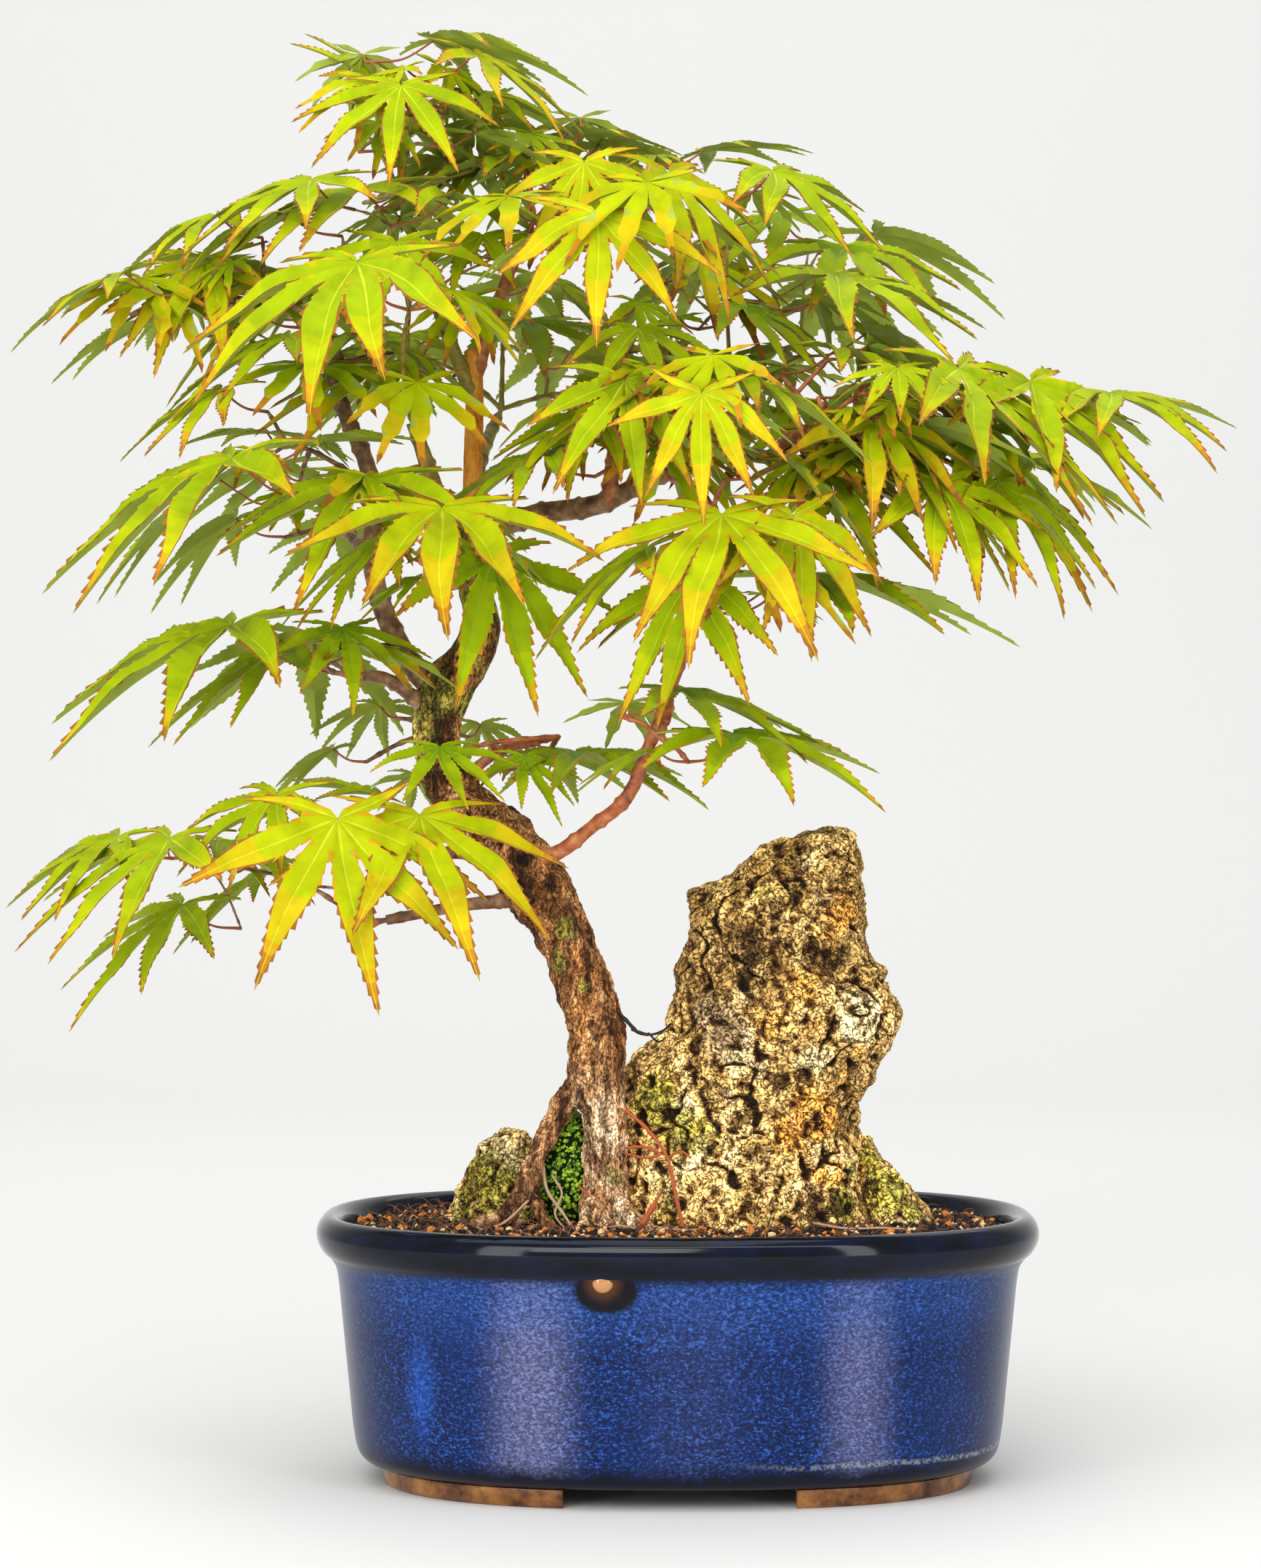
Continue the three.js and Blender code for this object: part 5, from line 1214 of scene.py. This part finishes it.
def pad_leaves(pad, seed):
    """Leaves dealt out over an upturned bowl."""
    if pad is None:
        return []
    roll = dice(seed)
    middle, radii, count, size = pad
    made = []
    for i in range(count):
        heading = i * GOLDEN_ANGLE + seed * 40
        level = 1 - 1.2 * (i + 0.5) / count
        out = math.sqrt(1 - level * level)
        ring = np.array([out * math.cos(math.radians(heading)), out * math.sin(math.radians(heading)), level])
        made.append(leaf_at(np.array(middle) + np.array(radii) * ring, heading + roll(-15, 15), roll(15, 40),
                            size * roll(0.85, 1.1), PAD_TINTS[i % 3]))
    return made


def young_leaves(mass, leaders, seed):
    """Finer growth than the source's: a small leaf opposite a lead leaf's stalk."""
    roll = dice(seed)
    return [leaf_opposite(leader, leader["heading"] + (-1 if i % 2 else 1) * (YOUNG_TURN + roll(-15, 15)),
                          roll(10, 40), leader["size"] * roll(0.42, 0.6), PAINTED_LIGHT_BEHIND[leader["tint"]], "light")
            for i, leader in enumerate(leaders[:mass.get("young")])]


def inner_leaves(mass, leaders, seed):
    """Finer growth than the source's: leaves between the bough's tip and the lead leaves, and single ones."""
    roll = dice(seed)
    tip = np.array(BOUGHS[mass["bough"]][-1][:3], float)
    made = []
    for leader in leaders:
        for _ in range(mass.get("inner", 0)):
            hub = tip + (leader["hub"] - tip) * roll(*INNER_SPAN)
            hub = hub + np.array([roll(-18, 18), roll(-6, 26), roll(-14, 16)])
            hub[1] = min(hub[1], INNER_FARTHEST_BACK)
            made.append(leaf_at(hub, leader["heading"] + roll(-75, 75), roll(12, 48),
                                min(leader["size"], 60) * roll(0.6, 0.9),
                                PAINTED_LIGHT_BEHIND[leader["tint"]] if roll(0, 1) < 0.7 else leader["tint"], "light"))
    return made + [leaf_at(single[:3], *single[3:]) for single in mass.get("more", [])]


def twig_to(nodes, leaf, seed):
    """The way from the foot of a leaf's stalk back to the node that carries it."""
    roll = dice(seed)
    foot = leaf.get("foot", stalk_foot(leaf))
    origin = min(nodes, key=lambda node: np.linalg.norm(node[0] - foot) + WAY_HOME * node[1])
    span = float(np.linalg.norm(origin[0] - foot))
    if span < SHORTEST_TWIG:
        return [origin]
    bend = np.array([roll(-0.06, 0.06), roll(-0.06, 0.06), roll(0, 0.1)]) * span
    middle = (origin[0] + foot) / 2 + bend
    return [(foot, origin[1] + span), (middle, origin[1] + span / 2), origin]


def twig_line(route, seed):
    """Finer than the source's twigs, which are as thick as a print needs."""
    stations = [[*spot, TWIG_FINENESS * max(THINNEST_TWIG, TWIG_RADIUS * (1 - travelled / TWIG_REACH))]
                for spot, travelled in route]
    return knuckled(smooth_line(stations, 10), seed, spacing=7.0, swelling=0.45)


def stalk_line(leaf, foot):
    sag = (leaf["hub"] + foot) / 2 - UP * 0.05 * leaf["size"]
    return smooth_line([[*spot, radius] for spot, radius in zip((leaf["hub"], sag, foot), STALK_RADII)], 6)


leaves, stalk_lines = [], []
twig_lines = {"red": [], "brown": [], "olive": []}
for index, mass in enumerate(MASSES.values()):
    line = curve_through(BOUGHS[mass["bough"]], 200)
    onward = line[-1, :3] - line[-2, :3]
    onward /= np.linalg.norm(onward)
    tip = line[-1, :3]
    nodes = [(tip + onward * FIRST_NODE, FIRST_NODE)]
    routes = [[nodes[0], (tip - onward * 2, 0)]]
    leaders = lead_leaves(mass)
    turns = [leaders, mate_leaves(mass, leaders, MATE_SEED + index),
             pad_leaves(mass.get("pad"), PAD_SEED + index), young_leaves(mass, leaders, YOUNG_SEED + index),
             inner_leaves(mass, leaders, INNER_SEED + index)]
    for turn, kinds in enumerate(turns):
        for i, leaf in enumerate(kinds):
            route = twig_to(nodes, leaf, LEAD_SEED * (index + 1) + TURN_SEED * turn + i)
            nodes += route[:-1]
            routes.append(route)
            leaf["seed"] = 1000 * (index + 1) + 100 * turn + i
            leaves.append(leaf)
            stalk_lines.append(stalk_line(leaf, route[0][0]))
    twig_lines[bark_of[mass["bough"]]] += [twig_line(route, TWIG_SEED + index)
                                           for route in routes if len(route) > 1]
for kind, lines in twig_lines.items():
    dress(f"twigs_{kind}", tube_mesh(lines, 2), [barks[kind]], "bark")


# Half width of a lobe along its length, as a share of its widest place
LOBE_SHARES = [0.1, 0.2, 0.3, 0.42, 0.5, 0.6, 0.7, 0.8, 0.9, 0.965]
LOBE_FULLNESS = [0.5, 0.68, 0.88, 1, 0.98, 0.78, 0.54, 0.36, 0.2, 0.08]
# A face of a leaf is part of its margin, its blade, a rib or its underside
MARGIN, BLADE, RIB, UNDERSIDE = range(4)
ROW_STRIPS = (MARGIN, BLADE, RIB, BLADE, MARGIN)
BASE_SHARES = (0.4, 0.75, 1.0)
TEETH_END = 0.965
TIP_SHARE = 0.98
TOOTH_ROWS, SMALL_TOOTH_ROWS = 24, 8
RIB_SINK = -0.004
LEAF_THICKNESS = 0.45


def lobe_measures(length):
    """Whether a lobe is one of the small pair by the stalk, its half width, and where it leaves the others."""
    small = length < 0.5
    narrower, lower = (0.55, 0.4) if small else (1, 1)
    return small, LOBE_HALF_WIDTH * (0.5 + length / 2) * narrower, NOTCH_AT * lower


def half_width(wide, share):
    return wide * np.interp(share, LOBE_SHARES, LOBE_FULLNESS)


def leaf_pattern():
    """A seven-lobed saw-edged leaf of size 1 as a thin closed shell: its spots, each [lobe, turn, reach, aside,
    lift, under], its faces, and for each face its strip and the share of the lobe that it lies at."""
    spots, faces, strips, shares = [], [], [], []
    roll = dice(6)

    def spot(lobe, turn, reach, aside=0.0, lift=None, under=0.0):
        spots.append([lobe, turn, reach, aside, abs(aside) if lift is None else lift, under])
        return len(spots) - 1

    def face(corners, strip, share):
        faces.append(corners)
        strips.append(strip)
        shares.append(share)

    def base_row(i, turn, length, notch, k):
        reach = BASE_SHARES[k] * notch
        rib = 0.007 * (1 - 0.3 * BASE_SHARES[k])
        (left, left_under), (right, right_under) = seams[i][k], seams[i + 1][k]
        top = [left, spot(i, turn, reach, -reach * 0.18), spot(i, turn, reach, -rib, RIB_SINK),
               spot(i, turn, reach, rib, RIB_SINK), spot(i, turn, reach, reach * 0.18), right]
        return top, [left_under, spot(i, turn, reach, 0, RIB_SINK, 1), right_under], reach / length

    def toothed_row(i, turn, length, wide, share, step, tooth):
        half = half_width(wide, share)
        reach = share * length
        rib = min(0.0042 * (1 - 0.7 * share), half * 0.25)
        inner = half * (0.90 if half > 0.03 else 0.78)
        swell = inner + 0.16 * half
        edges = []
        for side in (-1, 1):
            out = half + min(0.010, 0.34 * half) * (roll(0.45, 1.25) if tooth else roll(-0.7, -0.1))
            edges.append(spot(i, turn, reach + step * (roll(0.5, 1.0) if tooth else 0), side * out))
        top = [edges[0], spot(i, turn, reach, -inner, swell), spot(i, turn, reach, -rib, RIB_SINK),
               spot(i, turn, reach, rib, RIB_SINK), spot(i, turn, reach, inner, swell), edges[1]]
        return top, [edges[0], spot(i, turn, reach, 0, RIB_SINK, 1 - 0.6 * share), edges[1]], share

    middle = len(LOBES) // 2
    hub, hub_under = spot(middle, 0, 0), spot(middle, 0, 0, under=1)
    seam_turns = [-STALK_SIDE] + [(a[0] + b[0]) / 2 for a, b in zip(LOBES, LOBES[1:])] + [STALK_SIDE]
    seams = []
    for k, turn in enumerate(seam_turns):
        outer = k in (0, len(LOBES))
        lobe = min(k, len(LOBES) - 1)
        seams.append([])
        for share in BASE_SHARES:
            reach = share * (STALK_NOTCH_AT if outer else NOTCH_AT)
            top = spot(lobe, turn, reach, lift=reach * 0.3)
            under = top if outer or share == 1 else spot(lobe, turn, reach, lift=reach * 0.3, under=0.8)
            seams[k].append((top, under))
    for i, (turn, length) in enumerate(LOBES):
        small, wide, notch = lobe_measures(length)
        rows = [base_row(i, turn, length, notch, k) for k in range(len(BASE_SHARES))]
        first, count = notch / length, SMALL_TOOTH_ROWS if small else TOOTH_ROWS
        rows += [toothed_row(i, turn, length, wide, first + (TEETH_END - first) * k / count,
                             length * (TEETH_END - first) / count, k % 2 == 1) for k in range(1, count + 1)]
        tip = spot(i, turn, length)
        top, under, _ = rows[0]
        for a, b, strip in zip(top, top[1:], (BLADE, BLADE, RIB, BLADE, BLADE)):
            face([hub, a, b], strip, 0)
        for a, b in zip(under, under[1:]):
            face([hub_under, b, a], UNDERSIDE, 0)
        for k, ((top_a, under_a, share_a), (top_b, under_b, share_b)) in enumerate(zip(rows, rows[1:])):
            share = (share_a + share_b) / 2
            for c, strip in enumerate(ROW_STRIPS):
                if k < 2 and strip == MARGIN:
                    strip = BLADE
                face([top_a[c], top_b[c], top_b[c + 1], top_a[c + 1]], strip, share)
            for c in range(2):
                face([under_a[c + 1], under_b[c + 1], under_b[c], under_a[c]], UNDERSIDE, share)
        top, under, _ = rows[-1]
        for c, strip in enumerate(ROW_STRIPS):
            face([top[c], tip, top[c + 1]], strip, TIP_SHARE)
        for c in range(2):
            face([under[c + 1], tip, under[c]], UNDERSIDE, TIP_SHARE)
    return np.array(spots), faces, np.array(strips), np.array(shares)


def light_pattern():
    """The same leaf in far fewer faces, for the finer growth behind: each lobe is a sliver of its own."""
    spots, faces, strips, shares = [[len(LOBES) // 2, 0, 0, 0, 0, under] for under in (0, 1)], [], [], []
    around = ((0, 1), (1, 2), (2, 3), (3, 0))
    for i, (turn, length) in enumerate(LOBES):
        small, wide, notch = lobe_measures(length)
        rows = [(share * notch, 0.3 * share * notch, 0, share * notch / length) for share in (0.5, 1.0)]
        first, count = notch / length, 2 if small else 5
        for k in range(1, count + 1):
            share = first + (0.95 - first) * k / (count + 0.6)
            fuller, forward = (1.16, 0.05 * length) if k % 2 else (0.84, 0)
            rows.append((share * length, half_width(wide, share) * fuller, forward, share))
        before = None
        for reach, half, forward, share in rows:
            now = len(spots)
            spots += [[i, turn, reach + forward, -half, half, 0], [i, turn, reach, 0, RIB_SINK, 0],
                      [i, turn, reach + forward, half, half, 0], [i, turn, reach, 0, RIB_SINK, 1 - 0.6 * share]]
            if before is None:
                faces += [[0, now, now + 1], [0, now + 1, now + 2], [1, now + 2, now + 3], [1, now + 3, now]]
            else:
                faces += [[a + before, a + now, b + now, b + before] for a, b in around]
            shares += [share] * 4
            before = now
        faces += [[a + before, len(spots), b + before] for a, b in around]
        spots.append([i, turn, length, 0, 0, 0])
        strips += [BLADE, BLADE, UNDERSIDE, UNDERSIDE] * (len(rows) + 1)
        shares += [TIP_SHARE] * 4
    return np.array(spots, float), faces, np.array(strips), np.array(shares)


PATTERNS = {"full": leaf_pattern(), "light": light_pattern()}


def leaf_points(leaf):
    """Every spot of the leaf pattern on this leaf, in mm. The slope of a lobe steepens to its tip."""
    roll = dice(leaf["seed"])
    size = leaf["size"]
    sideways, hanging, sway = (np.array([roll(*span) for _ in LOBES]) for span in (SIDEWAYS, HANGING, SWAY))
    fold = math.tan(math.radians(roll(*FOLD)))
    drawn = np.array([roll(*DRAWN) for _ in LOBES])
    lobe, turn, reach, aside, lift, under = PATTERNS[leaf["pattern"]][0].T
    lobe = lobe.astype(int)
    reach = np.minimum(reach, NOTCH_AT) + np.maximum(reach - NOTCH_AT, 0) * drawn[lobe]
    loose = np.clip((reach - NOTCH_AT) / 0.3, 0, 1)
    turn = np.radians(turn + sideways[lobe] * loose)
    turned = math.radians(leaf["heading"])
    left = np.array([-math.sin(turned), math.cos(turned), 0])
    ahead = direction(leaf["heading"], leaf["fall"])
    along = np.cos(turn)[:, None] * ahead + np.sin(turn)[:, None] * left
    across = np.cross(np.cross(ahead, left), along)
    level = along * [1, 1, 0]
    level /= np.linalg.norm(level, axis=1)[:, None]
    start = np.arcsin(np.clip(along[:, 2], -1, 1))
    hang = math.radians(LOBE_HANG) * np.maximum(np.cos(start), 0.1) / size * (1 + (hanging[lobe] - 1) * loose)
    end = start - hang * reach * size
    slope = level * np.cos(end)[:, None] + UP * np.sin(end)[:, None]
    normal = np.cross(slope, across)
    normal /= np.linalg.norm(normal, axis=1)[:, None]
    ripple = 0.010 * size * np.sin(reach * 15 + lobe * 2.1 + leaf["seed"]) * np.abs(aside) / LOBE_HALF_WIDTH
    raised = lift * size * fold - under * LEAF_THICKNESS + ripple
    swayed = (aside + sway[lobe] * np.maximum(reach - NOTCH_AT, 0) ** 2 * 2) * size
    return (leaf["hub"] + level * ((np.sin(start) - np.sin(end)) / hang)[:, None]
            + UP * ((np.cos(end) - np.cos(start)) / hang)[:, None]
            + across * swayed[:, None] + normal * raised[:, None])


LEAF_COLOURS = {
    "lime": (0.33, 0.44, 0.003), "glow": (0.41, 0.47, 0.003), "sunlit": (0.48, 0.48, 0.004),
    "honey": (0.54, 0.43, 0.006), "gold": (0.55, 0.33, 0.008), "amber": (0.47, 0.21, 0.014),
    "tan": (0.32, 0.12, 0.022), "fresh": (0.30, 0.40, 0.004), "leafy": (0.36, 0.46, 0.004),
    "mid": (0.22, 0.34, 0.004), "pale_rib": (0.54, 0.58, 0.025),
    "green_rib": (0.28, 0.42, 0.03), "underside": (0.34, 0.42, 0.06),
}
# Each tint's name, its blade colours from hub to tip, then its near and far margin, rib and underside
TINTS = {
    "b": ("bright", "glow glow glow honey honey gold amber tan", "gold tan pale_rib underside"),
    "l": ("lime", "lime lime lime glow sunlit gold amber tan", "honey tan pale_rib underside"),
    "f": ("fresh", "fresh leafy leafy lime glow honey amber tan", "sunlit tan pale_rib underside"),
    "g": ("green", "mid fresh fresh fresh leafy lime gold tan", "leafy amber green_rib underside"),
}
BLADE_STEPS = [0.2, 0.35, 0.5, 0.64, 0.75, 0.84, 0.92]
NEAR_MARGIN, FAR_MARGIN, RIB_PAINT, UNDER_PAINT = range(8, 12)


def leaf_finish(name, colour):
    shades = [tuple(min(1, share * part) for part in colour) for share in (0.80, 1.0, 1.18)]
    return grainy(f"leaf_{name}", 0.55, [90], list(zip((0.32, 0.5, 0.68), shades)), Specular_IOR_Level=0.04)


def painted(leaf, face_lobes, strips, places):
    """The material number of each face of a leaf: tints step along each lobe, a little unevenly."""
    roll = dice(leaf["seed"] + 7)
    shares = places + roll(-0.07, 0.07)
    uneven = np.array([roll(-0.05, 0.05) for _ in LOBES])
    steps = np.searchsorted(BLADE_STEPS, shares + uneven[face_lobes])
    margins = np.where(shares < roll(0.25, 0.45), NEAR_MARGIN, FAR_MARGIN)
    return np.choose(strips, [margins, steps, RIB_PAINT, UNDER_PAINT])


leaf_materials = {name: leaf_finish(name, colour) for name, colour in LEAF_COLOURS.items()}
for tint, (tint_name, blade, others) in TINTS.items():
    for kind, (spots, pattern_faces, strips, places) in PATTERNS.items():
        alike = [leaf for leaf in leaves if (leaf["tint"], leaf["pattern"]) == (tint, kind)]
        face_lobes = spots[[face[1] for face in pattern_faces], 0].astype(int)
        mesh = mesh_from_arrays(np.vstack([leaf_points(leaf) for leaf in alike]), [
            [corner + k * len(spots) for corner in face] for k in range(len(alike)) for face in pattern_faces])
        paints = np.concatenate([painted(leaf, face_lobes, strips, places) for leaf in alike])
        mesh.polygons.foreach_set("material_index", paints.astype(np.int32))
        piece = dress(f"leaves_{tint_name}" + ("_fine" if kind == "light" else ""), mesh,
                      [leaf_materials[colour] for colour in f"{blade} {others}".split()],
                      "foliage", sharp_angle=48)
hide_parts(*(f"leaves_{name}" for name in MASSES))
stalk_finish = new_material("leaf_stalk", 0.4, (0.36, 0.10, 0.035))
dress("leaf_stalks", tube_mesh(stalk_lines, 1), [stalk_finish], "foliage")


# Stage, light and camera
def backdrop():
    """A pale floor that sweeps up into a wall behind."""
    bm = bmesh.new()
    sweep = [(1.6 + math.sin(angle), 1.0 - math.cos(angle)) for angle in np.linspace(0, math.pi / 2, 24)]
    corners = [bm.verts.new((-6, y, z)) for y, z in [(-3.0, 0), *sweep, (2.6, 5.0)]]
    edges = [bm.edges.new(pair) for pair in zip(corners, corners[1:])]
    made = bmesh.ops.extrude_edge_only(bm, edges=edges)
    moved = [part for part in made["geom"] if isinstance(part, bmesh.types.BMVert)]
    bmesh.ops.translate(bm, verts=moved, vec=(12, 0, 0))
    bmesh.ops.recalc_face_normals(bm, faces=bm.faces)
    return mesh_from_bmesh(bm)


floor = as_piece("pale_floor", backdrop(), [new_material("pale_paper", 0.9, (0.80, 0.795, 0.78))])

# Lamps: place, aim, width, height and power
SOFTBOXES = {
    "top_light": ((-0.3, -0.6, 1.9), (0, 0, 0.2), 1.8, 1.4, 14.5),
    "left_strip": ((-0.70, -1.05, 0.40), (0, 0, 0.15), 0.30, 0.9, 4.5),
    "right_strip": ((0.80, -1.10, 0.42), (0, 0, 0.15), 0.22, 1.1, 4),
    "front_light": ((-0.4, -1.9, 0.95), (0, 0, 0.25), 1.0, 0.7, 14.5),
    "floor_light": ((0.2, -0.95, 0.85), (0.08, -0.4, 0), 0.9, 0.09, 1.5),
    "back_light": ((0.3, 1.2, 1.6), (0, 0, 0.3), 1.6, 0.8, 4.5),
    "wall_light": ((0, 0.9, 2.3), (0, 2.6, 1.3), 3.0, 0.8, 21),
}
for name, (place, aim, width, height, power) in SOFTBOXES.items():
    lamp = bpy.data.lights.new(name, "AREA")
    lamp.shape = "RECTANGLE"
    lamp.size = width
    lamp.size_y = height
    lamp.energy = power
    holder = in_scene(name, lamp)
    holder.location = place
    holder.rotation_mode = "QUATERNION"
    holder.rotation_quaternion = (Vector(aim) - Vector(place)).to_track_quat("-Z", "Y")

world = bpy.data.worlds.new("studio")
world.use_nodes = True
world.node_tree.nodes["Background"].inputs["Color"].default_value = (0.97, 0.98, 1.0, 1)
world.node_tree.nodes["Background"].inputs["Strength"].default_value = 0.58
bpy.context.scene.world = world
bpy.context.scene.view_settings.view_transform = "Standard"

camera_data = bpy.data.cameras.new("camera")
camera_data.sensor_width = 36
camera_data.lens = 101.3
camera = in_scene("camera", camera_data)
camera.location = (0.00285, -1.3396, 0.211)
camera.rotation_euler = (math.radians(90), 0, 0)
bpy.context.scene.camera = camera
